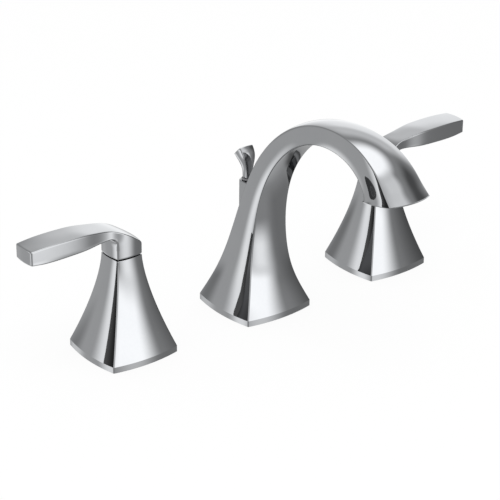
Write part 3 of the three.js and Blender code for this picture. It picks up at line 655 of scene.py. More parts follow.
def turning_marks_group():
    """Fine rings left by a lathe, lying across the object's upright axis."""
    tree, given, out = group_of(
        "Turning Marks",
        [("Pitch", "NodeSocketFloat", 0.0003), ("Unevenness", "NodeSocketFloat", 0.5)],
        [("Height", "NodeSocketFloat")],
    )
    place = object_place(tree)
    height = put(tree, "ShaderNodeSeparateXYZ", {0: place}).outputs[2]
    noise = put(tree, "ShaderNodeTexNoise", {"Vector": place, "Scale": 260.0, "Detail": 2.0}).outputs[0]
    turn = maths(tree, "DIVIDE", height, given.outputs[0])
    uneven = maths(tree, "MULTIPLY_ADD", noise, given.outputs[1], turn)
    wave = maths(tree, "SINE", maths(tree, "MULTIPLY", uneven, 2 * math.pi))
    tree.links.new(maths(tree, "MULTIPLY_ADD", wave, 0.5, 0.5), out.inputs[0])
    return tree


def shared_group(name, make):
    return bpy.data.node_groups.get(name) or make()


def use_group(tree, name, make, values):
    node = tree.nodes.new("ShaderNodeGroup")
    node.node_tree = shared_group(name, make)
    for key, value in values.items():
        node.inputs[key].default_value = value
    return node


def blank_material(name):
    material = bpy.data.materials.new(name)
    material.use_nodes = True
    tree = material.node_tree
    tree.nodes.clear()
    return material, tree, tree.nodes.new("ShaderNodeOutputMaterial")


def finish_material(name, low, high, rough, scale, metallic=1.0, bump=0.1, marks=0.0, coat=0.0):
    """A finish whose colour and roughness wander between two levels, with fine relief."""
    made = bpy.data.materials.get(name)
    if made:
        return made
    made, tree, out = blank_material(name)
    mottle = use_group(tree, "Mottle", mottle_group, {"Scale": scale, "Fine Share": 0.35})
    colour = put(tree, "ShaderNodeMix", {0: mottle.outputs[0], 6: (*low, 1), 7: (*high, 1)}, data_type="RGBA")
    roughness = put(tree, "ShaderNodeMapRange", {
        "Value": mottle.outputs[0], "To Min": rough[0], "To Max": rough[1]})
    height = mottle.outputs[1]
    if marks:
        rings = use_group(tree, "Turning Marks", turning_marks_group, {"Pitch": 0.00035, "Unevenness": 0.6})
        height = maths(tree, "MULTIPLY_ADD", rings.outputs[0], marks, height)
    relief = put(tree, "ShaderNodeBump", {"Strength": bump, "Distance": 0.0002, "Height": height})
    shader = put(tree, "ShaderNodeBsdfPrincipled", {
        "Base Color": colour.outputs[2], "Roughness": roughness.outputs[0],
        "Metallic": metallic, "Coat Weight": coat, "Normal": relief.outputs[0]})
    tree.links.new(shader.outputs[0], out.inputs[0])
    return made


def chrome():
    return finish_material(
        "polished_chrome", (0.485, 0.49, 0.503), (0.505, 0.51, 0.52), (0.02, 0.035), 45.0, bump=0.004)


def brass():
    return finish_material(
        "turned_brass", (0.6, 0.41, 0.17), (0.75, 0.55, 0.28), (0.24, 0.4), 90.0, bump=0.12, marks=0.8)


def steel():
    return finish_material(
        "zinc_steel", (0.46, 0.47, 0.49), (0.62, 0.63, 0.65), (0.26, 0.42), 130.0, bump=0.1, marks=0.4)


def copper():
    return finish_material(
        "drawn_copper", (0.62, 0.3, 0.19), (0.8, 0.46, 0.32), (0.2, 0.36), 60.0, bump=0.06)


def rubber():
    return finish_material(
        "black_rubber", (0.014, 0.014, 0.015), (0.03, 0.03, 0.031), (0.6, 0.85), 160.0,
        metallic=0.0, bump=0.25)


def white_nylon():
    return finish_material(
        "white_nylon", (0.74, 0.73, 0.69), (0.82, 0.81, 0.78), (0.38, 0.52), 120.0,
        metallic=0.0, bump=0.1)


def dark_nylon():
    return finish_material(
        "dark_nylon", (0.022, 0.022, 0.024), (0.04, 0.04, 0.042), (0.38, 0.55), 140.0,
        metallic=0.0, bump=0.12)


def ceramic():
    return finish_material(
        "ground_ceramic", (0.8, 0.79, 0.76), (0.87, 0.86, 0.84), (0.12, 0.22), 110.0,
        metallic=0.0, bump=0.03, coat=0.4)


# Geometry Nodes

def floats(*labels):
    return [(label, "NodeSocketFloat") for label in labels]


def geometry_tree(name, inputs):
    """A new modifier tree with the named inputs and one Geometry output."""
    tree = bpy.data.node_groups.new(name, "GeometryNodeTree")
    tree.is_modifier = True
    for label, kind in inputs:
        tree.interface.new_socket(label, in_out="INPUT", socket_type=kind)
    tree.interface.new_socket("Geometry", in_out="OUTPUT", socket_type="NodeSocketGeometry")
    return tree, tree.nodes.new("NodeGroupInput").outputs, tree.nodes.new("NodeGroupOutput")


def end_tree(tree, geometry, material, out):
    real = put(tree, "GeometryNodeRealizeInstances", {0: geometry}).outputs[0]
    painted = put(tree, "GeometryNodeSetMaterial", {"Geometry": real, "Material": material}).outputs[0]
    tree.links.new(painted, out.inputs[0])
    return tree


def run_tree(made, name, make, values):
    """Runs a tree on the object and keeps the result as its plain mesh."""
    tree = shared_group(name, make)
    modifier = made.modifiers.new(name, "NODES")
    modifier.node_group = tree
    for item in tree.interface.items_tree:
        if item.in_out == "INPUT" and item.name in values:
            modifier[item.identifier] = values[item.name]
    evaluated_mesh(made)


def thread_tree():
    """Presses a screw thread into the round wall that lies at the given radius about the Z axis."""
    tree, given, out = geometry_tree("Thread", [
        ("Geometry", "NodeSocketGeometry"), *floats("Radius", "Bottom", "Top", "Pitch", "Depth"),
        ("Material", "NodeSocketMaterial")])
    place = put(tree, "GeometryNodeInputPosition").outputs[0]
    x, y, z = put(tree, "ShaderNodeSeparateXYZ", {0: place}).outputs
    spoke = put(tree, "ShaderNodeCombineXYZ", {0: x, 1: y}).outputs[0]
    length = vector_maths(tree, "LENGTH", {0: spoke}, "Value")
    on_wall = maths(tree, "COMPARE", length, given["Radius"], NEAR_WALL * MM)
    turn = maths(tree, "MULTIPLY", maths(tree, "ARCTAN2", y, x), 1 / (2 * math.pi))
    turns = maths(tree, "SUBTRACT", maths(tree, "DIVIDE", z, given["Pitch"]), turn)
    groove = maths(tree, "MULTIPLY", maths(tree, "PINGPONG", turns, 0.5), 2.0)
    to_end = maths(tree, "MINIMUM", maths(tree, "SUBTRACT", z, given["Bottom"]),
                   maths(tree, "SUBTRACT", given["Top"], z))
    fade = put(tree, "ShaderNodeMapRange", {"Value": to_end, "From Max": given["Pitch"]}).outputs[0]
    depth = maths(tree, "MULTIPLY", maths(tree, "MULTIPLY", groove, fade), given["Depth"])
    way = vector_maths(tree, "NORMALIZE", {0: spoke})
    offset = vector_maths(tree, "SCALE", {0: way, "Scale": maths(tree, "MULTIPLY", depth, -1.0)})
    cut = put(tree, "GeometryNodeSetPosition", {
        "Geometry": given["Geometry"], "Selection": on_wall, "Offset": offset}).outputs[0]
    return end_tree(tree, cut, given["Material"], out)


def honeycomb_tree():
    """A round plate with a honeycomb of straight holes through it, standing on the origin."""
    tree, given, out = geometry_tree("Honeycomb", [
        ("Geometry", "NodeSocketGeometry"), *floats("Radius", "Thickness", "Spacing", "Hole Radius"),
        ("Material", "NodeSocketMaterial")])
    rows = HONEYCOMB_ROWS
    plate = put(tree, "GeometryNodeMeshCylinder", {
        "Vertices": 64, "Radius": given["Radius"], "Depth": given["Thickness"]}).outputs["Mesh"]
    row_gap = maths(tree, "MULTIPLY", given["Spacing"], math.sqrt(3) / 2)
    grid = put(tree, "GeometryNodeMeshGrid", {
        "Size X": maths(tree, "MULTIPLY", given["Spacing"], rows - 1.0),
        "Size Y": maths(tree, "MULTIPLY", row_gap, rows - 1.0),
        "Vertices X": rows, "Vertices Y": rows}).outputs[0]
    place = put(tree, "GeometryNodeInputPosition").outputs[0]
    across = put(tree, "ShaderNodeSeparateXYZ", {0: place}).outputs[1]
    row = maths(tree, "ROUND", maths(tree, "DIVIDE", across, row_gap))
    odd = maths(tree, "MODULO", maths(tree, "ABSOLUTE", row), 2.0)
    shift = put(tree, "ShaderNodeCombineXYZ", {
        0: maths(tree, "MULTIPLY", maths(tree, "MULTIPLY", odd, given["Spacing"]), 0.5)}).outputs[0]
    staggered = put(tree, "GeometryNodeSetPosition", {"Geometry": grid, "Offset": shift}).outputs[0]
    away = vector_maths(tree, "LENGTH", {0: place}, "Value")
    edge = maths(tree, "MULTIPLY", given["Hole Radius"], HONEYCOMB_EDGE_SHARE)
    inside = maths(tree, "LESS_THAN", away, maths(tree, "SUBTRACT", given["Radius"], edge))
    points = put(tree, "GeometryNodeMeshToPoints", {"Mesh": staggered, "Selection": inside}).outputs[0]
    hole = put(tree, "GeometryNodeMeshCylinder", {
        "Vertices": 6, "Radius": given["Hole Radius"],
        "Depth": maths(tree, "MULTIPLY", given["Thickness"], 1.5)}).outputs["Mesh"]
    holes = put(tree, "GeometryNodeInstanceOnPoints", {
        "Points": points, "Instance": hole, "Rotation": (0, 0, math.pi / 6)}).outputs[0]
    holes = put(tree, "GeometryNodeRealizeInstances", {0: holes}).outputs[0]
    bored = put(tree, "GeometryNodeMeshBoolean", {"Mesh 1": plate, "Mesh 2": holes}, operation="DIFFERENCE")
    return end_tree(tree, bored.outputs[0], given["Material"], out)


def cut_thread(made, material, radius, bottom, top, pitch=THREAD_PITCH, depth=THREAD_DEPTH):
    cut_rings(made, radius, bottom, top, pitch / THREAD_RINGS)
    run_tree(made, "Thread", thread_tree, {
        "Radius": radius * MM, "Bottom": bottom * MM, "Top": top * MM,
        "Pitch": pitch * MM, "Depth": depth * MM, "Material": material})


# The stage

CAMERA_AZIMUTH = 38.68
CAMERA_ELEVATION = 25.42
CAMERA_ROLL = 0.62
CAMERA_DISTANCE = 1194.0
CAMERA_AIM = (-33.7, -36.9, 60.0)
CAMERA_LENS = 143.352
CAMERA_FAR = 30000.0
SENSOR = 36.0
DOME_RADIUS = 2600.0
DOME_SIDES = 96
DOME_RINGS = 60
DOME_TOP_DEGREES = 88
FLOOR_HALF = 6000.0
WORLD_GLOW = 0.85
LAMP_PLACE = (-400.0, -600.0, 1800.0)
LAMP_SIZE = 1200.0
LAMP_POWER = 9.0

# Soft panes of the studio in degrees: centre and half width round the object, height and half height,
# glow, and softness of the upright and of the level edges
PANES = [
    ("Overhead", 0, 220, 90, 28, 1.9, 8, 10),
    ("Front High", -85, 30, 47, 16, 1.1, 12, 10),
    ("Front Grey", -25, 25, -20, 30, 0.27, 12, 10),
    ("Right Front Dark", -20, 16, 15, 27, 0.12, 12, 10),
    ("Front", -75, 17, 11, 16, 1.9, 9, 8),
    ("Front Low", -69, 12, -16, 12, 1.5, 11, 8),
    ("Right Back", 36, 26, 10, 22, 1.3, 10, 9),
    ("Right Back High", 38, 28, 38, 9, 0.9, 10, 8),
    ("Left Wall", 125, 22, -10, 30, 0.57, 8, 8),
    ("Left Strip", 150, 7, -8, 23, 1.4, 6, 6),
    ("Left Floor Light", 110, 9, -35, 8, 1.2, 6, 6),
    ("Low Right Dark", 22, 14, -50, 8, 0.12, 8, 6),
    ("Below", 0, 220, -80, 18, 0.6, 8, 8),
    ("Camera Side", -140, 40, 25, 35, 0.8, 12, 10),
    ("Left Wall Dark", 118, 6, 2, 8, 0.3, 5, 4),
]
ROOM_GLOW = 0.4
SECOND_GLOW = 0.3  # how much of the studio's glow is left in metal that is seen in other metal

# The dark flag to the left of the object, in millimetres: the place and the facing of its upright line,
# its outline as distances beyond that line and heights, and the glow across it
FLAG_PLACE = (-808.0, 405.0)
FLAG_AZIMUTH = 155.0
FLAG_OUTLINE = [
    (520, -240), (520, 300), (-15, 300), (-20, 232), (-175, 225), (-175, 190), (-62, 184),
    (-45, 170), (-28, 148), (-10, 115), (0, 70), (6, 20), (20, -100), (28, -240),
]
FLAG_BANDS = [(-60, 0.12), (10, 0.12), (30, 0.105), (55, 0.075), (85, 0.045), (110, 0.03)]


def pane_group():
    """How far inside a soft pane a direction lies, from 0 to 1."""
    tree, given, out = group_of(
        "Soft Pane",
        [(label, "NodeSocketFloat", 0.0) for label in (
            "Azimuth", "Elevation", "Centre", "Half Width", "Height", "Half Height",
            "Side Softness", "Level Softness")],
        [("Inside", "NodeSocketFloat")],
    )
    side, lift, centre, width, height, half, side_soft, level_soft = (given.outputs[k] for k in range(8))
    rise = maths(tree, "ABSOLUTE", maths(tree, "SUBTRACT", lift, height))
    away = maths(tree, "ABSOLUTE", maths(tree, "WRAP", maths(tree, "SUBTRACT", side, centre), 180.0, -180.0))
    inside = []
    for distance, limit, soft in ((away, width, side_soft), (rise, half, level_soft)):
        inside.append(put(tree, "ShaderNodeMapRange", {
            "Value": distance, "From Min": maths(tree, "SUBTRACT", limit, soft),
            "From Max": maths(tree, "ADD", limit, soft), "To Min": 1.0, "To Max": 0.0,
        }, interpolation_type="SMOOTHSTEP").outputs[0])
    tree.links.new(maths(tree, "MULTIPLY", *inside), out.inputs[0])
    return tree


def studio_material():
    """The studio that the polished metal reflects, as glow by direction."""
    made, tree, out = blank_material("studio_reflections")
    place = object_place(tree)
    way = vector_maths(tree, "NORMALIZE", {0: place})
    x, y, z = put(tree, "ShaderNodeSeparateXYZ", {0: way}).outputs
    degrees = 180 / math.pi
    azimuth = maths(tree, "MULTIPLY", maths(tree, "ARCTAN2", y, x), degrees)
    elevation = maths(tree, "MULTIPLY", maths(tree, "ARCSINE", z), degrees)
    glow = ROOM_GLOW
    for label, centre, width, height, half, strength, side_soft, level_soft in PANES:
        pane = use_group(tree, "Soft Pane", pane_group, {
            "Centre": centre, "Half Width": width, "Height": height, "Half Height": half,
            "Side Softness": side_soft, "Level Softness": level_soft})
        pane.label = label
        tree.links.new(azimuth, pane.inputs["Azimuth"])
        tree.links.new(elevation, pane.inputs["Elevation"])
        glow = blend(tree, pane.outputs[0], glow, strength)
    depth = put(tree, "ShaderNodeLightPath").outputs["Ray Depth"]
    first = maths(tree, "LESS_THAN", depth, 1.5)
    shown = blend(tree, first, SECOND_GLOW, 1.0)
    light = put(tree, "ShaderNodeEmission", {
        "Color": (0.985, 0.995, 1, 1), "Strength": maths(tree, "MULTIPLY", glow, shown)})
    tree.links.new(light.outputs[0], out.inputs[0])
    made.cycles.emission_sampling = "NONE"
    return made


def flag_material():
    """A dark flag whose near part glows a little."""
    made, tree, out = blank_material("dark_flag")
    place = object_place(tree)
    turn = math.radians(FLAG_AZIMUTH)
    start = Vector((*FLAG_PLACE, 0)) * MM
    offset = vector_maths(tree, "SUBTRACT", {0: place, 1: start})
    along = vector_maths(tree, "DOT_PRODUCT", {0: offset, 1: (-math.sin(turn), math.cos(turn), 0)}, "Value")
    first, last = FLAG_BANDS[0][0], FLAG_BANDS[-1][0]
    share = put(tree, "ShaderNodeMapRange", {
        "Value": along, "From Min": first * MM, "From Max": last * MM}).outputs[0]
    ramp = put(tree, "ShaderNodeValToRGB", {0: share})
    points = ramp.color_ramp.elements
    while len(points) < len(FLAG_BANDS):
        points.new(0.5)
    for point, (distance, glow) in zip(points, FLAG_BANDS):
        point.position = (distance - first) / (last - first)
        point.color = (glow, glow, glow, 1)
    light = put(tree, "ShaderNodeEmission", {"Color": ramp.outputs[0]})
    tree.links.new(light.outputs[0], out.inputs[0])
    made.cycles.emission_sampling = "NONE"
    return made


def floor_material(shade):
    """White to the camera with a faint shadow, and clear from below."""
    made, tree, out = blank_material("pale_floor")
    path = put(tree, "ShaderNodeLightPath")
    white = put(tree, "ShaderNodeEmission", {"Color": (1, 1, 1, 1), "Strength": 1.0})
    matt = put(tree, "ShaderNodeBsdfDiffuse", {"Color": (0.98, 0.98, 0.98, 1)})
    shown = put(tree, "ShaderNodeMixShader", {0: shade, 1: white.outputs[0], 2: matt.outputs[0]})
    seen = put(tree, "ShaderNodeMixShader", {
        0: path.outputs["Is Camera Ray"], 1: matt.outputs[0], 2: shown.outputs[0]})
    clear = put(tree, "ShaderNodeBsdfTransparent")
    below = put(tree, "ShaderNodeNewGeometry").outputs["Backfacing"]
    both = put(tree, "ShaderNodeMixShader", {0: below, 1: seen.outputs[0], 2: clear.outputs[0]})
    tree.links.new(both.outputs[0], out.inputs[0])
    made.cycles.emission_sampling = "NONE"
    return made


def dome_object():
    """A globe round the object, whose inside glows."""
    rings = []
    for lift in np.radians(np.linspace(DOME_TOP_DEGREES, -DOME_TOP_DEGREES, DOME_RINGS)):
        outline = flat_sided(DOME_RADIUS * math.cos(lift), DOME_SIDES)
        rings.append(level(outline, DOME_RADIUS * math.sin(lift)))
    return skin("studio_dome", rings)


def flag_object():
    turn = math.radians(FLAG_AZIMUTH)
    x, y = FLAG_PLACE
    corners = [(x - beyond * math.sin(turn), y + beyond * math.cos(turn), z) for beyond, z in FLAG_OUTLINE]
    return new_object("studio_flag", corners, [tuple(range(len(corners)))])


def make_world():
    world = bpy.data.worlds.new("studio_world")
    bpy.context.scene.world = world
    world.use_nodes = True
    tree = world.node_tree
    tree.nodes.clear()
    path = put(tree, "ShaderNodeLightPath")
    direct = maths(tree, "ADD", path.outputs["Is Camera Ray"], path.outputs["Is Glossy Ray"])
    direct = maths(tree, "MINIMUM", maths(tree, "ADD", direct, path.outputs["Is Transmission Ray"]), 1.0)
    strength = blend(tree, direct, WORLD_GLOW, 1.0)
    light = put(tree, "ShaderNodeBackground", {"Color": (1, 1, 1, 1), "Strength": strength})
    out = put(tree, "ShaderNodeOutputWorld")
    tree.links.new(light.outputs[0], out.inputs[0])


def make_camera():
    turn, lift = math.radians(CAMERA_AZIMUTH), math.radians(CAMERA_ELEVATION)
    back = Vector((-math.sin(turn) * math.cos(lift), -math.cos(turn) * math.cos(lift), math.sin(lift)))
    right = (-back).cross(Vector((0, 0, 1))).normalized()
    up = right.cross(-back)
    roll = math.radians(CAMERA_ROLL)
    across = right * math.cos(roll) + up * math.sin(roll)
    upward = up * math.cos(roll) - right * math.sin(roll)
    place = (Vector(CAMERA_AIM) + back * CAMERA_DISTANCE) * MM
    data = bpy.data.cameras.new("camera")
    data.lens, data.sensor_width = CAMERA_LENS, SENSOR
    data.clip_end = CAMERA_FAR * MM
    made = bpy.data.objects.new("camera", data)
    turned_to = Matrix((across, upward, back)).transposed().to_4x4()
    made.matrix_world = Matrix.Translation(place) @ turned_to
    bpy.context.scene.collection.objects.link(made)
    bpy.context.scene.camera = made


def make_lamp():
    data = bpy.data.lights.new("overhead_softbox", "AREA")
    data.shape, data.size = "DISK", LAMP_SIZE * MM
    data.energy = LAMP_POWER
    made = bpy.data.objects.new("overhead_softbox", data)
    made.location = [value * MM for value in LAMP_PLACE]
    made.rotation_euler = (-made.location).to_track_quat("-Z", "Y").to_euler()
    made.visible_glossy = False
    made.visible_camera = False
    bpy.context.scene.collection.objects.link(made)


# The spout

reach_at, rise_at = even_spline(REACH_SHARES), even_spline(RISE_SHARES)
lean_at = even_spline(LEAN_DEGREES)
depth_at, width_at = even_spline(DEPTH_SHARES), even_spline(WIDTH_SHARES)
hood_bow_at = even_spline(HOOD_BOW_SHARES)


def spout_middle(share):
    return 0.0, -reach_at(share) * SPOUT_REACH, SPOUT_RIM + rise_at(share) * SPOUT_RISE


def spout_outline(share, inset, radius, side_steps):
    depth = depth_at(share) * SPOUT_HALF - inset
    width = width_at(share) * SPOUT_HALF - inset
    bows = [BOW_SHARE * width, BOW_SHARE * depth, hood_bow_at(share) * width, BOW_SHARE * depth]
    return bowed_outline(rectangle(width, depth), bows, radius, side_steps)


def placed_on_spout(outline, share, inwards=0.0):
    """The outline's points in the spout's cross plane at this share of its length."""
    lean = math.radians(lean_at(share))
    _, y, z = spout_middle(share)
    y += inwards * math.sin(lean)
    z -= inwards * math.cos(lean)
    return [(u, y + v * math.cos(lean), z + v * math.sin(lean)) for u, v in outline]


def spout_rings(settings):
    steps, edge = settings.side_steps, settings.edge_radius / MM
    hollow = [
        placed_on_spout(spout_outline(share, CAST_WALL, edge, steps), share)
        for share in np.linspace(HOLLOW_END_SHARE, 0, HOLLOW_RINGS)
    ]
    foot_hollow = [(x, y, 0.0) for x, y, _ in hollow[-1]]
    foot = placed_on_spout(spout_outline(0, 0, edge, steps), 0)
    stations = np.linspace(0, 1, settings.spout_stations + 1)[:-1]
    outside = [placed_on_spout(spout_outline(share, 0, edge, steps), share) for share in stations]
    for inset, back in edge_steps(OUTLET_LIP):
        outside.append(placed_on_spout(spout_outline(1, inset, edge, steps), 1, back))
    end = spout_outline(1, 0, edge, steps)
    bore = circle_like(end, OUTLET_HOUSING_RADIUS + FIT_GAP)
    rim = [(x, y, 0.0) for x, y, _ in foot]
    bore_rings = [placed_on_spout(bore, 1), placed_on_spout(bore, 1, OUTLET_BORE)]
    first_crease = len(hollow) - 1
    return [*hollow, foot_hollow, rim, *outside, *bore_rings], range(first_crease, first_crease + 4)


def boss_solid():
    """The raised back of the spout that carries the lift rod."""
    front = spout_middle(BOSS_FRONT_SHARE)[1]
    outline = [(-BOSS_RADIUS, front), (BOSS_RADIUS, front)]
    for k in range(BOSS_ARC_STEPS + 1):
        angle = math.pi * k / BOSS_ARC_STEPS
        outline.append((BOSS_RADIUS * math.cos(angle), ROD_BEHIND + BOSS_RADIUS * math.sin(angle)))
    outline, middle = np.array(outline), np.array((0.0, ROD_BEHIND))
    ways = outline - middle
    rings = [level(outline, BOSS_BOTTOM)]
    for inset, back in edge_steps(BOSS_ROUNDING):
        shrink = 1 - inset / BOSS_RADIUS
        shrunk = middle + ways * np.array((shrink, 1.0))
        shrunk[2:] = middle + ways[2:] * shrink
        rings.append(level(shrunk, BOSS_TOP - back))
    return skin("boss", rings)


def build_spout(settings):
    rings, creases = spout_rings(settings)
    body = skin("spout_shell", rings, creases=creases)
    combine(body, boss_solid(), "UNION")
    for place in (-ANCHOR_PLACE, ANCHOR_PLACE):
        lug_ends = (place, place, ANCHOR_LUG_BOTTOM), (place, place, ANCHOR_LUG_TOP)
        combine(body, rod_along("lug", ANCHOR_LUG_RADIUS, *lug_ends), "UNION")
        drill(body, ANCHOR_SCREW_RADIUS + FIT_GAP, (place, place, 0), (place, place, ANCHOR_HOLE_TOP))
    rod_hole = ROD_RADIUS + FIT_GAP
    for radius, y, bottom, top in (
        (rod_hole, ROD_BEHIND, ROD_HOLE_START, ROD_HOLE_END),
        (rod_hole + BUSHING_WALL + FIT_GAP, ROD_BEHIND, BOSS_TOP - BUSHING_LENGTH - FIT_GAP, ROD_HOLE_END),
        (TUBE_BORE, -TUBE_FORWARD, SPOUT_RIM, TUBE_TOP),
    ):
        drill(body, radius, (0, y, bottom), (0, y, top))
    finish_piece(body, chrome(), "base", "chrome", "spout_body")


# The handle covers

def cover_half(z):
    share = (COVER_HEIGHT - max(z, COVER_RIM)) / (COVER_HEIGHT - COVER_RIM)
    return COVER_TOP_HALF + (COVER_HALF - COVER_TOP_HALF) * share**FLARE_POWER


def cover_rings(settings, x):
    steps, edge = settings.side_steps, settings.edge_radius / MM
    plate = COVER_HEIGHT - COVER_TOP_PLATE

    def square_ring(half, z):
        return level(bowed_square(half, edge, steps) + np.array((x, 0)), z)

    rings = [square_ring(COVER_HALF, 0.0)]
    heights = np.linspace(COVER_RIM, COVER_HEIGHT - COVER_LIP, COVER_RINGS)
    rings += [square_ring(cover_half(z), z) for z in heights]
    for inset, back in edge_steps(COVER_LIP)[1:]:
        rings.append(square_ring(COVER_TOP_HALF - inset, COVER_HEIGHT - back))
    square = bowed_square(COVER_TOP_HALF, edge, steps)
    recess, seat = GLIDE_LIP_RADIUS + FIT_GAP, COVER_HEIGHT + GLIDE_PROUD - GLIDE_LIP - FIT_GAP
    for radius, z in ((recess, COVER_HEIGHT), (recess, seat), (GLIDE_BORE, seat), (GLIDE_BORE, plate)):
        rings.append(level(circle_like(square, radius) + np.array((x, 0)), z))
    rings += [square_ring(cover_half(z) - CAST_WALL, z) for z in np.linspace(plate, 0, COVER_HOLLOW_RINGS)]
    return rings


def build_covers(settings):
    for side, out in SIDES:
        rings = cover_rings(settings, out * HANDLE_AXIS)
        shell = skin(f"{side}_cover_shell", rings, looped=True, creases=(1,))
        finish_piece(shell, chrome(), "base", "chrome", f"{side}_escutcheon")


# The levers

lever_top = spline_through(LEVER_TOP_SHARES, LEVER_REACH, LEVER_RISE, HUB_FOOT)
lever_under = spline_through(LEVER_UNDER_SHARES, LEVER_REACH, LEVER_RISE, HUB_FOOT)
lever_wall = spline_through(LEVER_PLAN_SHARES, LEVER_REACH, LEVER_HALF_WIDTH)


def lever_half(x, z):
    """How far the handle's side wall stands from its middle plane, at a place seen from the side."""
    hub = COVER_TOP_HALF
    share = max(-1.0, min(1.0, x / hub))
    hub_wall = hub + hub * BOW_SHARE * (1 - share * share)
    return hub_wall + (lever_wall(x) - hub_wall) * smooth_step(z, *WALL_BLEND)


def polyline(points, count):
    """Points spread evenly along a line through the given points."""
    points = np.array(points)
    lengths = np.concatenate(([0], np.cumsum(np.hypot(*np.diff(points, axis=0).T))))
    places = np.linspace(0, lengths[-1], count)
    return np.array([np.interp(places, lengths, points[:, k]) for k in (0, 1)]).T


def lever_paths():
    """The lower and the upper edge of the bent bar, seen from the side, point by point."""
    hub, bend = COVER_TOP_HALF, LEVER_BEND_RADIUS
    bend_x = hub + bend
    bend_z = lever_under(bend_x) - bend
    lower = [(hub, HUB_TOP), (hub, bend_z)]
    for k in range(1, BEND_STEPS + 1):
        angle = math.pi - math.pi / 2 * k / BEND_STEPS
        lower.append((bend_x + bend * math.cos(angle), bend_z + bend * math.sin(angle)))

    def crest(x):
        return lever_top(x) - LEVER_CROWN * smooth_step(x, *CROWN_BLEND)

    knee = np.array((-hub, crest(-hub)))
    above = np.array((-hub + KNEE_RUN, crest(-hub + KNEE_RUN)))
    below = knee - np.array((0, KNEE_DROP))
    upper = [(-hub, HUB_TOP)]
    upper += [tuple(curved(below, knee, above, k / KNEE_STEPS)) for k in range(KNEE_STEPS + 1)]
    upper += [(x, crest(x)) for x in np.linspace(-hub + CREST_START, bend_x, CREST_POINTS)]
    fan = list(zip(polyline(lower, FAN_RINGS), polyline(upper, FAN_RINGS)))
    hub_heights = np.linspace(HUB_FOOT + LEVER_FOOT_ROUNDING, HUB_TOP, HUB_RINGS)[:-1]
    hub_part = [((hub, z), (-hub, z)) for z in hub_heights]
    arm_places = np.linspace(bend_x, LEVER_REACH - LEVER_TIP_ROUNDING, ARM_RINGS)[1:]
    arm = [((x, lever_under(x)), (x, crest(x))) for x in arm_places]
    return hub_part + fan + arm


def lever_section(lower, upper, inset, edge, steps):
    """One four-sided section of the bar, between its lower and upper edge."""
    lower, upper = np.array(lower, float), np.array(upper, float)
    way = (upper - lower) / np.hypot(*(upper - lower))
    lower, upper = lower + way * inset, upper - way * inset
    hub_bow = COVER_TOP_HALF * BOW_SHARE - LEVER_CROWN
    upper_bow = LEVER_CROWN + hub_bow * (1 - smooth_step(float(upper[0]), *UPPER_BOW_BLEND))
    lower_bow = LEVER_CROWN + hub_bow * (1 - smooth_step(float(lower[1]), *LOWER_BOW_BLEND))
    length = np.hypot(*(upper - lower))
    low_half = lever_half(*lower) - inset
    high_half = lever_half(*upper) - inset
    corners = [(-low_half, 0), (low_half, 0), (high_half, length), (-high_half, length)]
    outline = bowed_outline(corners, [lower_bow, 0, upper_bow, 0], edge, steps)
    points = []
    for across, along in outline:
        place = lower + way * min(max(along, 0), length)
        straight = low_half + (high_half - low_half) * min(max(along / length, 0), 1)
        wall = lever_half(*place) - inset
        x, z = (float(value) for value in lower + way * along)
        tip = LEVER_TIP_BOW * (across / LEVER_HALF_WIDTH) ** 2 * smooth_step(x, *TIP_BOW_BLEND)
        points.append((x - tip, -across * wall / straight, z))
    return points


def lever_rings(settings):
    steps, edge = settings.side_steps, settings.edge_radius / MM
    stations = lever_paths()
    rings = [lever_section(lower, upper, 0, edge, steps) for lower, upper in stations]
    foot, middle = (
        lever_section(*(np.array(place) - np.array((0, drop)) for place in stations[0]), inset, edge, steps)
        for drop, inset in LEVER_FOOT_STEPS)
    outline = np.array([(x, y) for x, y, _ in foot])
    bore = circle_like(outline, LEVER_SOCKET_RADIUS)
    start = [level(bore, HUB_FOOT + LEVER_SOCKET), level(bore, HUB_FOOT), foot, middle]
    end = []
    for inset, back in edge_steps(LEVER_TIP_ROUNDING)[1:]:
        x = LEVER_REACH - back
        crest = lever_top(x) - LEVER_CROWN
        end.append(lever_section((x, lever_under(x)), (x, crest), inset, edge, steps))
    return start + rings + end + tip_rings(np.array(end[-1]))


def tip_rings(rim):
    """Rings that close the bowed tip, each a smaller copy of its rim."""
    bow = LEVER_TIP_BOW / LEVER_HALF_WIDTH**2
    flat = rim + np.outer(rim[:, 1] ** 2, (bow, 0, 0))
    middle = np.array((flat[:, 0].mean(), 0, flat[:, 2].mean()))
    rings = []
    for share in LEVER_TIP_SHARES:
        ring = middle + (flat - middle) * share
        rings.append([(x - bow * y * y, y, z) for x, y, z in ring])
    return rings


def build_levers(settings):
    for side, out in SIDES:
        rings = lever_rings(settings)
        placed = [[(out * (x + HANDLE_AXIS), y, z) for x, y, z in ring] for ring in rings]
        if out > 0:
            placed = [ring[::-1] for ring in placed]
        lever = skin(f"{side}_lever_handle", placed)
        centre = out * HANDLE_AXIS
        hole_ends = (centre, 0, SET_SCREW_HEIGHT), (centre, SET_SCREW_HOLE, SET_SCREW_HEIGHT)
        drill(lever, SET_SCREW_RADIUS + FIT_GAP, *hole_ends)
        finish_piece(lever, chrome(), f"{side}_handle", "chrome", f"{side}_lever")


# The lift rod and its knob

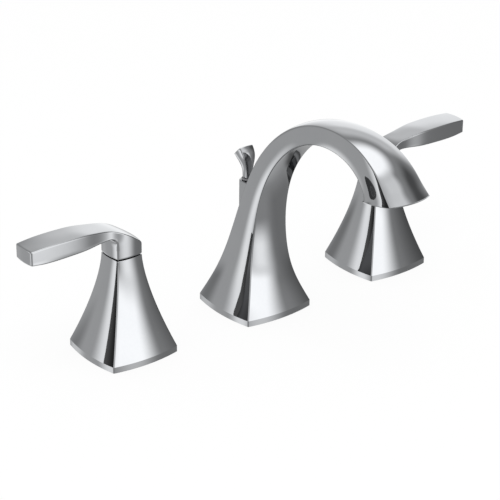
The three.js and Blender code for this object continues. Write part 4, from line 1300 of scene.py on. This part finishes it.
def knob_rings(settings):
    steps, edge = settings.side_steps, settings.edge_radius / MM
    foot = BOSS_TOP + FIT_GAP + BUSHING_LIP + FIT_GAP
    points = [
        np.array((ROD_BEHIND + back * KNOB_LEAN_BACK, foot + up * KNOB_HEIGHT))
        for back, up in KNOB_AXIS_SHARES]
    width_share, depth_share = even_spline(KNOB_WIDTH_SHARES), even_spline(KNOB_DEPTH_SHARES)

    def ring(share, inset=0.0, shift=0.0):
        y, z = sum(point * part for point, part in zip(points, cubic_parts(share)))
        lean = math.radians(KNOB_LEAN_DEGREES * share**2)
        y, z = y + shift * math.sin(lean), z + shift * math.cos(lean)
        width = width_share(share) * KNOB_HALF_WIDTH - inset
        depth = depth_share(share) * KNOB_HALF_DEPTH - inset
        bows = [BOW_SHARE * width, BOW_SHARE * depth] * 2
        outline = bowed_outline(rectangle(width, depth), bows, edge * KNOB_EDGE_SHARE, steps // 2)
        return [(u, y + v * math.cos(lean), z - v * math.sin(lean)) for u, v in outline]

    foot_rings = [ring(0, *step) for step in KNOB_FOOT_STEPS]
    outline = np.array([(x, y - ROD_BEHIND) for x, y, _ in foot_rings[0]])
    bore = circle_like(outline, ROD_SPIGOT_RADIUS + FIT_GAP) + np.array((0, ROD_BEHIND))
    rings = [level(bore, foot + KNOB_SOCKET), level(bore, foot), *foot_rings]
    rings += [ring(share) for share in np.linspace(KNOB_FIRST_SHARE, 1, KNOB_RINGS)[:-1]]
    return rings + [ring(1, inset, -back) for inset, back in edge_steps(KNOB_HEAD_ROUNDING)]


def build_lift(settings):
    knob = skin("knob_pull", knob_rings(settings))
    finish_piece(knob, chrome(), "lift", "chrome", "lift_knob")
    shoulder = BOSS_TOP + BUSHING_LIP
    spigot_top = BOSS_TOP + 2 * FIT_GAP + BUSHING_LIP + KNOB_SOCKET - FIT_GAP
    profile = softened([
        (CORE, -ROD_DEPTH), (ROD_RADIUS, -ROD_DEPTH), (ROD_RADIUS, shoulder),
        (ROD_SPIGOT_RADIUS, shoulder), (ROD_SPIGOT_RADIUS, spigot_top), (CORE, spigot_top)],
        ROD_SOFT, closed=False)
    rod = turned("lift_rod_bar", profile, y=ROD_BEHIND, sides=40, closed=False)
    finish_piece(rod, chrome(), "lift", "chrome", "lift_rod")
    inner = ROD_RADIUS + FIT_GAP
    outer = inner + BUSHING_WALL
    lip = BOSS_TOP + FIT_GAP
    profile = softened([
        (inner, BOSS_TOP - BUSHING_LENGTH), (outer, BOSS_TOP - BUSHING_LENGTH), (outer, lip),
        (BUSHING_LIP_RADIUS, lip), (BUSHING_LIP_RADIUS, lip + BUSHING_LIP), (inner, lip + BUSHING_LIP)],
        LIP_SOFT)
    bushing = turned("rod_guide", profile, y=ROD_BEHIND)
    finish_piece(bushing, dark_nylon(), "base", "dark_nylon", "rod_bushing")


# The outlet, seen from below

def outlet_place(inwards):
    """The frame of the outlet, with its Z axis pointing into the spout, this far in."""
    turn = Matrix.Rotation(math.radians(lean_at(1) - 180), 4, "X")
    return Matrix.Translation(Vector(spout_middle(1)) * MM) @ turn @ Matrix.Translation((0, 0, inwards * MM))


def build_outlet():
    inner = OUTLET_HOUSING_RADIUS - OUTLET_WALL
    profile = ring_profile(inner, OUTLET_HOUSING_RADIUS, 0, OUTLET_HOUSING)
    housing = turned("aerator_sleeve", profile, sides=72)
    housing.data.transform(outlet_place(OUTLET_RECESS))
    finish_piece(housing, chrome(), "base", "chrome", "aerator_housing")
    insert = new_object("aerator_honeycomb", [(0, 0, 0)], [])
    run_tree(insert, "Honeycomb", honeycomb_tree, {
        "Radius": (inner - FIT_GAP) * MM, "Thickness": INSERT_DEPTH * MM, "Spacing": HONEYCOMB_SPACING * MM,
        "Hole Radius": HONEYCOMB_HOLE * MM, "Material": white_nylon()})
    insert.data.transform(outlet_place(OUTLET_RECESS + INSERT_INSET + INSERT_DEPTH / 2))
    finish_piece(insert, white_nylon(), "base", "white_nylon", "aerator_insert")


# Screws, nuts, washers and pipes

def nut_piece(name, node, bore, sides=6):
    """An upright nut or locknut in place of its solid."""
    x, y, bottom, top, radius = upright_place(node)
    nut = chamfered_prism(name, radius, sides, bottom, top, math.pi / 2)
    drill(nut, bore, (0, 0, bottom - CUT_BEYOND), (0, 0, top + CUT_BEYOND))
    move(nut, x, y)
    finish_piece(nut, brass(), "base", "brass", node)


def pipe_nut_piece(name, node, bore):
    """A nut that lies along X, on a pipe."""
    low, high = box_mm(node)
    nut = chamfered_prism(name, (high[2] - low[2]) / 2, 6, 0, high[0] - low[0], 0.0)
    drill(nut, bore, (0, 0, -CUT_BEYOND), (0, 0, high[0] - low[0] + CUT_BEYOND))
    laid_along_x(nut, (low[0], (low[1] + high[1]) / 2, (low[2] + high[2]) / 2), 1)
    finish_piece(nut, brass(), "base", "brass", node)


def washer_piece(name, node, bore):
    x, y, bottom, top, radius = upright_place(node)
    washer = turned(name, ring_profile(bore, radius, bottom, top, HEAD_SOFT), x, y, 96)
    finish_piece(washer, steel(), "base", "steel", node)


def screw_piece(name, node, body, radius, head_radius, head_up):
    """A threaded screw with a six-sided key socket in its head."""
    x, y, low, high, _ = upright_place(node)
    head = ANCHOR_HEAD + FIT_GAP * head_up
    top = high - low
    neck = top - head
    thread_bottom, thread_top = radius * SCREW_TAPER_SHARE, neck - PLAIN_NECK
    tip = softened([(CORE, 0), (radius * SCREW_TIP_SHARE, 0)], TIP_SOFT, closed=False)
    cap = softened([
        (head_radius * HEAD_BEARING_SHARE, neck), (head_radius, neck), (head_radius, top), (CORE, top)],
        HEAD_SOFT, closed=False)
    profile = [*tip, (radius, thread_bottom), (radius, thread_top), (radius, neck), *cap]
    screw = turned(name, profile, sides=32, closed=False)
    key_bottom = top - head * KEY_DEPTH_SHARE
    drill(screw, head_radius * KEY_RADIUS_SHARE, (0, 0, key_bottom), (0, 0, top + CUT_BEYOND), 6)
    cut_thread(screw, steel(), radius, thread_bottom, thread_top, SCREW_PITCH, SCREW_THREAD_DEPTH)
    if not head_up:
        screw.data.transform(Matrix.Rotation(math.pi, 4, "X"))
        low += top
    move(screw, x, y, low)
    finish_piece(screw, steel(), body, "steel", node)


def build_handle_fittings():
    for side, out in SIDES:
        centre = out * HANDLE_AXIS
        low, high = box_mm(f"{side}_glide_ring")
        lip_bottom = high[2] - GLIDE_LIP
        profile = softened([
            (GLIDE_INNER, low[2]), (GLIDE_INNER + GLIDE_WALL, low[2]), (GLIDE_INNER + GLIDE_WALL, lip_bottom),
            (GLIDE_LIP_RADIUS, lip_bottom), (GLIDE_LIP_RADIUS, high[2]), (GLIDE_INNER, high[2])], LIP_SOFT)
        ring = turned(f"{side}_glide_bearing", profile, centre, 0, 72)
        finish_piece(ring, dark_nylon(), "base", "dark_nylon", f"{side}_glide_ring")
        profile = bar_profile(SET_SCREW_RADIUS, 0, SET_SCREW_LENGTH, ROD_SOFT)
        screw = turned(f"{side}_grub_screw", profile, sides=32, closed=False)
        drill(screw, SET_SCREW_KEY, (0, 0, SET_SCREW_KEY_START), (0, 0, SET_SCREW_LENGTH + CUT_BEYOND), 6)
        screw.data.transform(
            Matrix.Translation(Vector((centre, SET_SCREW_START, SET_SCREW_HEIGHT)) * MM)
            @ Matrix.Rotation(-math.pi / 2, 4, "X"))
        finish_piece(screw, steel(), f"{side}_handle", "steel", f"{side}_set_screw")
        screw_piece(
            f"{side}_handle_bolt", f"{side}_adapter_screw", f"{side}_handle",
            HANDLE_SCREW_RADIUS, HANDLE_SCREW_HEAD, True)


def build_spout_fixing():
    bottom, collar_top = (corner[2] for corner in box_mm("spout_shank"))
    profile = [
        (SHANK_BORE, bottom), (SHANK_RADIUS - END_CHAMFER, bottom), (SHANK_RADIUS, bottom + END_CHAMFER),
        (SHANK_RADIUS, SHANK_THREAD_TOP), (SHANK_RADIUS, SHANK_COLLAR_BOTTOM),
        (SHANK_COLLAR_RADIUS, SHANK_COLLAR_BOTTOM), (SHANK_COLLAR_RADIUS, collar_top),
        (SHANK_BORE, collar_top)]
    shank = turned("threaded_shank", profile, sides=72)
    cut_thread(shank, brass(), SHANK_RADIUS, bottom + END_CHAMFER, SHANK_THREAD_TOP)
    finish_piece(shank, brass(), "base", "brass", "spout_shank")
    nut_piece("shank_nut", "spout_nut", SHANK_RADIUS + FIT_GAP)
    washer_piece("shank_washer", "spout_washer", SHANK_RADIUS + FIT_GAP)
    for place in ("front", "back"):
        screw_piece(
            f"{place}_anchor_bolt", f"anchor_screw_{place}", "base",
            ANCHOR_SCREW_RADIUS, ANCHOR_HEAD_RADIUS, False)


def valve_shell(name, out):
    """A valve body: threaded barrel, neck, flat-sided block, inlet and side arm."""
    thread_top = VALVE_THREAD_TOP - VALVE_THREAD_CHAMFER
    barrel = turned(name, [
        (CORE, -VALVE_INLET_BORE_DEPTH), (VALVE_INLET_BORE, -VALVE_INLET_BORE_DEPTH),
        (VALVE_INLET_BORE, -VALVE_INLET_DEPTH), (VALVE_INLET_RADIUS - END_CHAMFER, -VALVE_INLET_DEPTH),
        (VALVE_INLET_RADIUS, -VALVE_INLET_DEPTH + END_CHAMFER), (VALVE_INLET_RADIUS, -VALVE_INLET_TOP_DEPTH),
        (VALVE_INLET_RADIUS, -VALVE_SHOULDER_DEPTH), (VALVE_THREAD_RADIUS, -VALVE_SHOULDER_DEPTH),
        (VALVE_THREAD_RADIUS, VALVE_THREAD_BOTTOM), (VALVE_THREAD_RADIUS, thread_top),
        (VALVE_THREAD_RADIUS - VALVE_THREAD_CHAMFER, VALVE_THREAD_TOP), (VALVE_NECK_RADIUS, VALVE_THREAD_TOP),
        (VALVE_NECK_RADIUS, VALVE_NECK_TOP), (VALVE_WELL_RADIUS, VALVE_NECK_TOP),
        (VALVE_WELL_RADIUS, -VALVE_WELL_DEPTH), (CORE, -VALVE_WELL_DEPTH)], sides=72, closed=False)
    block = chamfered_prism(
        "block", VALVE_BLOCK_RADIUS, 12, -VALVE_BLOCK_DEPTH, -VALVE_THREAD_DEPTH, math.pi / 2)
    arm = turned("arm", bar_profile(TEE_ARM_RADIUS, 0, VALVE_ARM_REACH, ARM_SOFT), sides=48, closed=False)
    laid_along_x(arm, (0, 0, -VALVE_ARM_DEPTH), -out)
    combine(block, arm, "UNION")
    combine(barrel, block, "UNION")
    port, well_cut = out * VALVE_PORT_OFFSET, -VALVE_WELL_DEPTH + CUT_BEYOND
    arm_end = (-out * (VALVE_ARM_REACH + CUT_BEYOND), 0, -VALVE_ARM_DEPTH)
    for radius, start, end in (
        (TUBE_BORE, (-out * (VALVE_ARM_REACH - VALVE_SOCKET), 0, -VALVE_ARM_DEPTH), arm_end),
        (PASSAGE_RADIUS, (-port, 0, -VALVE_ARM_DEPTH), arm_end),
        (VALVE_PORT_RADIUS, (port, 0, -VALVE_INLET_BORE_DEPTH - CUT_BEYOND), (port, 0, well_cut)),
        (VALVE_PORT_RADIUS, (-port, 0, -VALVE_ARM_DEPTH), (-port, 0, well_cut)),
    ):
        drill(barrel, radius, start, end, 32)
    cut_thread(barrel, brass(), VALVE_THREAD_RADIUS, VALVE_THREAD_BOTTOM, thread_top)
    return barrel


def build_valves():
    bore = VALVE_THREAD_RADIUS + FIT_GAP
    for side, out in SIDES:
        shell = valve_shell(f"{side}_valve_shell", out)
        move(shell, out * HANDLE_AXIS, 0)
        finish_piece(shell, brass(), "base", "brass", f"{side}_valve_body")
        nut_piece(f"{side}_clamp_nut", f"{side}_nut", bore)
        nut_piece(f"{side}_top_locknut", f"{side}_deck_locknut", bore, 12)
        washer_piece(f"{side}_clamp_washer", f"{side}_washer", bore)


def tee_shell():
    low, high = box_mm("supply_tee")
    centre = -TUBE_FORWARD
    profile = bar_profile(TEE_RADIUS, low[2], high[2], TEE_SOFT)
    body = turned("tee_shell", profile, y=centre, sides=72, closed=False)
    arm_height = high[2] - TEE_ARM_BELOW
    arm_profile = bar_profile(TEE_ARM_RADIUS, 0, 2 * TEE_ARM_REACH, ARM_SOFT)
    arm = turned("arm", arm_profile, sides=48, closed=False)
    laid_along_x(arm, (-TEE_ARM_REACH, centre, arm_height), 1)
    combine(body, arm, "UNION")
    tube_bottom = box_mm("waterway_tube")[0][2]
    drill(body, TUBE_BORE, (0, centre, tube_bottom - FIT_GAP), (0, centre, high[2] + CUT_BEYOND), 32)
    drill(body, PASSAGE_RADIUS, (0, centre, arm_height), (0, centre, high[2]), 32)
    reach, socket = TEE_ARM_REACH + CUT_BEYOND, TEE_SOCKET_START
    for radius, start, end in (
        (PASSAGE_RADIUS, -reach, reach), (TUBE_BORE, -reach, -socket), (TUBE_BORE, socket, reach),
    ):
        drill(body, radius, (start, centre, arm_height), (end, centre, arm_height), 32)
    return body, arm_height


def crossover_pipe(name, out, tee_height):
    """The bent pipe between a valve's arm and the tee."""
    tee_place = np.array((-TUBE_FORWARD, tee_height))
    valve_place = np.array((0.0, -VALVE_ARM_DEPTH))
    valve_end = HANDLE_AXIS - VALVE_ARM_REACH + VALVE_SOCKET - FIT_GAP
    tee_end = TEE_SOCKET_START + FIT_GAP
    valve_bend = HANDLE_AXIS - VALVE_ARM_REACH - PIPE_NUT * PIPE_BEND_START
    tee_bend = TEE_ARM_REACH + PIPE_NUT * PIPE_BEND_START
    middle = (valve_bend + tee_bend) / 2
    line = [(tee_end, 0.0)]
    for share in np.linspace(0, 1, PIPE_STEPS + 1):
        parts = cubic_parts(share)
        x = sum(a * b for a, b in zip(parts, (tee_bend, middle, middle, valve_bend)))
        line.append((x, parts[2] + parts[3]))
    line.append((valve_end, 1.0))
    sweep = valve_place - tee_place
    drop = float(np.hypot(*sweep))
    across = sweep / drop
    beside = np.array((-across[1], across[0]))
    ways = np.gradient(np.array([(x, share * drop) for x, share in line]), axis=0)
    walls = []
    for radius in (TUBE_RADIUS, TUBE_RADIUS - TUBE_WALL):
        rings = []
        for (x, share), way in zip(line, ways):
            way = way / np.hypot(*way)
            points = []
            for u, w in flat_sided(radius, PIPE_SIDES):
                place = tee_place + across * (share * drop + u * way[0]) + beside * w
                points.append((out * (x - u * way[1]), place[0], place[1]))
            rings.append(points[::out])
        walls.append(rings)
    return skin(name, walls[0] + walls[1][::-1], looped=True)


def build_pipes():
    low, high = box_mm("waterway_tube")
    inner = TUBE_RADIUS - TUBE_WALL
    seal_top = high[2] - SEAL_INSET
    seal_bottom = seal_top - SEAL_THICKNESS
    groove = TUBE_RADIUS - SEAL_GROOVE
    tube = turned("riser_tube", softened([
        (inner, low[2]), (TUBE_RADIUS, low[2]), (TUBE_RADIUS, seal_bottom - FIT_GAP),
        (groove, seal_bottom - FIT_GAP), (groove, seal_top + FIT_GAP), (TUBE_RADIUS, seal_top + FIT_GAP),
        (TUBE_RADIUS, high[2]), (inner, high[2])], TUBE_SOFT), 0, -TUBE_FORWARD, 48)
    finish_piece(tube, copper(), "base", "copper", "waterway_tube")
    tee, tee_height = tee_shell()
    finish_piece(tee, brass(), "base", "brass", "supply_tee")
    nut_piece("tee_union_nut", "tee_nut", TUBE_BORE)
    for side, out in SIDES:
        pipe = crossover_pipe(f"{side}_bent_pipe", out, tee_height)
        finish_piece(pipe, copper(), "base", "copper", f"{side}_crossover_tube")
        for end in ("valve", "tee"):
            pipe_nut_piece(f"{side}_{end}_union_nut", f"{side}_{end}_pipe_nut", TUBE_BORE)


# Finishes of the solids that stay as they are

def finish_solids():
    finishes = {
        "spout_gasket": rubber, "anchor_plate": brass, "waterway_seal": rubber, "aerator_washer": rubber}
    for side, _ in SIDES:
        for part, finish in (
            ("escutcheon_gasket", rubber), ("handle_adapter", white_nylon), ("cartridge_stem", brass),
            ("cartridge_body", white_nylon), ("turning_disc", ceramic), ("fixed_disc", ceramic),
            ("cartridge_seal", rubber), ("bonnet_nut", brass),
        ):
            finishes[f"{side}_{part}"] = finish
    for name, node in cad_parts.items():
        if node.hide_render:
            continue
        finish = finishes.pop(name)
        node.data.materials.clear()
        node.data.materials.append(finish())
        node.visible_glossy = False
    if finishes:
        raise RuntimeError(f"These solids are no longer shown: {sorted(finishes)}")


# The add-on

class FaucetSettings(bpy.types.PropertyGroup):
    edge_radius: bpy.props.FloatProperty(
        name="Edge Radius", description="How far the cast corners are rounded",
        default=0.0009, min=0.0001, max=0.002, subtype="DISTANCE", unit="LENGTH")
    side_steps: bpy.props.IntProperty(
        name="Side Steps", description="Faces across each bowed side of a casting", default=18, min=6, max=60)
    spout_stations: bpy.props.IntProperty(
        name="Spout Stations", description="Sections along the spout", default=150, min=24, max=400)
    floor_shade: bpy.props.FloatProperty(
        name="Floor Shade", description="How much of the object's shadow the floor keeps",
        default=0.1, min=0.0, max=1.0, subtype="FACTOR")


class FAUCET_OT_stage(bpy.types.Operator):
    """Set up the camera, the floor, the lamp and the studio that the metal reflects"""
    bl_idname = "faucet.stage"
    bl_label = "Stage"

    def execute(self, context):
        make_world()
        make_camera()
        make_lamp()
        floor = new_object("floor", level(rectangle(FLOOR_HALF, FLOOR_HALF), 0), [(0, 1, 2, 3)])
        floor.data.materials.append(floor_material(context.scene.faucet.floor_shade))
        floor.visible_glossy = False
        for made, material in ((dome_object(), studio_material()), (flag_object(), flag_material())):
            made.data.materials.append(material)
            made.visible_camera = made.visible_diffuse = made.visible_shadow = False
            made.visible_transmission = False
        return {"FINISHED"}


class FAUCET_OT_spout(bpy.types.Operator):
    """Build the arched spout with its square flared base"""
    bl_idname = "faucet.spout"
    bl_label = "Spout"

    def execute(self, context):
        build_spout(context.scene.faucet)
        return {"FINISHED"}


class FAUCET_OT_covers(bpy.types.Operator):
    """Build the two flared handle covers"""
    bl_idname = "faucet.covers"
    bl_label = "Handle Covers"

    def execute(self, context):
        build_covers(context.scene.faucet)
        return {"FINISHED"}


class FAUCET_OT_levers(bpy.types.Operator):
    """Build the two lever handles"""
    bl_idname = "faucet.levers"
    bl_label = "Levers"

    def execute(self, context):
        build_levers(context.scene.faucet)
        return {"FINISHED"}


class FAUCET_OT_lift(bpy.types.Operator):
    """Build the lift rod, its knob and its guide"""
    bl_idname = "faucet.lift"
    bl_label = "Lift Rod"

    def execute(self, context):
        build_lift(context.scene.faucet)
        return {"FINISHED"}


class FAUCET_OT_outlet(bpy.types.Operator):
    """Build the aerator's sleeve and its honeycomb insert"""
    bl_idname = "faucet.outlet"
    bl_label = "Outlet"

    def execute(self, context):
        build_outlet()
        return {"FINISHED"}


class FAUCET_OT_handle_fittings(bpy.types.Operator):
    """Build the bearings and screws of the two handles"""
    bl_idname = "faucet.handle_fittings"
    bl_label = "Handle Fittings"

    def execute(self, context):
        build_handle_fittings()
        return {"FINISHED"}


class FAUCET_OT_spout_fixing(bpy.types.Operator):
    """Build the threaded shank under the spout with its nut, washer and screws"""
    bl_idname = "faucet.spout_fixing"
    bl_label = "Spout Fixing"

    def execute(self, context):
        build_spout_fixing()
        return {"FINISHED"}


class FAUCET_OT_valves(bpy.types.Operator):
    """Build the two valve bodies with their nuts and washers"""
    bl_idname = "faucet.valves"
    bl_label = "Valves"

    def execute(self, context):
        build_valves()
        return {"FINISHED"}


class FAUCET_OT_pipes(bpy.types.Operator):
    """Build the riser tube, the tee, the bent pipes and their nuts"""
    bl_idname = "faucet.pipes"
    bl_label = "Pipes"

    def execute(self, context):
        build_pipes()
        return {"FINISHED"}


class FAUCET_OT_finishes(bpy.types.Operator):
    """Give each solid that stays as it is its rubber, nylon, ceramic or brass finish"""
    bl_idname = "faucet.finishes"
    bl_label = "Finishes"

    def execute(self, context):
        finish_solids()
        return {"FINISHED"}


OPERATORS = (
    FAUCET_OT_stage, FAUCET_OT_spout, FAUCET_OT_covers, FAUCET_OT_levers, FAUCET_OT_lift, FAUCET_OT_outlet,
    FAUCET_OT_handle_fittings, FAUCET_OT_spout_fixing, FAUCET_OT_valves, FAUCET_OT_pipes, FAUCET_OT_finishes,
)


class FAUCET_PT_panel(bpy.types.Panel):
    bl_idname = "FAUCET_PT_panel"
    bl_label = "Faucet"
    bl_space_type = "VIEW_3D"
    bl_region_type = "UI"
    bl_category = "Faucet"

    def draw(self, context):
        settings = context.scene.faucet
        for name in ("edge_radius", "side_steps", "spout_stations", "floor_shade"):
            self.layout.prop(settings, name)
        for operator in OPERATORS:
            self.layout.operator(operator.bl_idname)


CLASSES = (FaucetSettings, *OPERATORS, FAUCET_PT_panel)


def register():
    for cls in CLASSES:
        bpy.utils.register_class(cls)
    bpy.types.Scene.faucet = bpy.props.PointerProperty(type=FaucetSettings)


def unregister():
    del bpy.types.Scene.faucet
    for cls in reversed(CLASSES):
        bpy.utils.unregister_class(cls)


def main():
    register()
    bpy.context.scene.view_settings.view_transform = "Standard"
    for operator in OPERATORS:
        getattr(bpy.ops.faucet, operator.bl_idname.split(".")[1])()


if __name__ == "__main__":
    main()
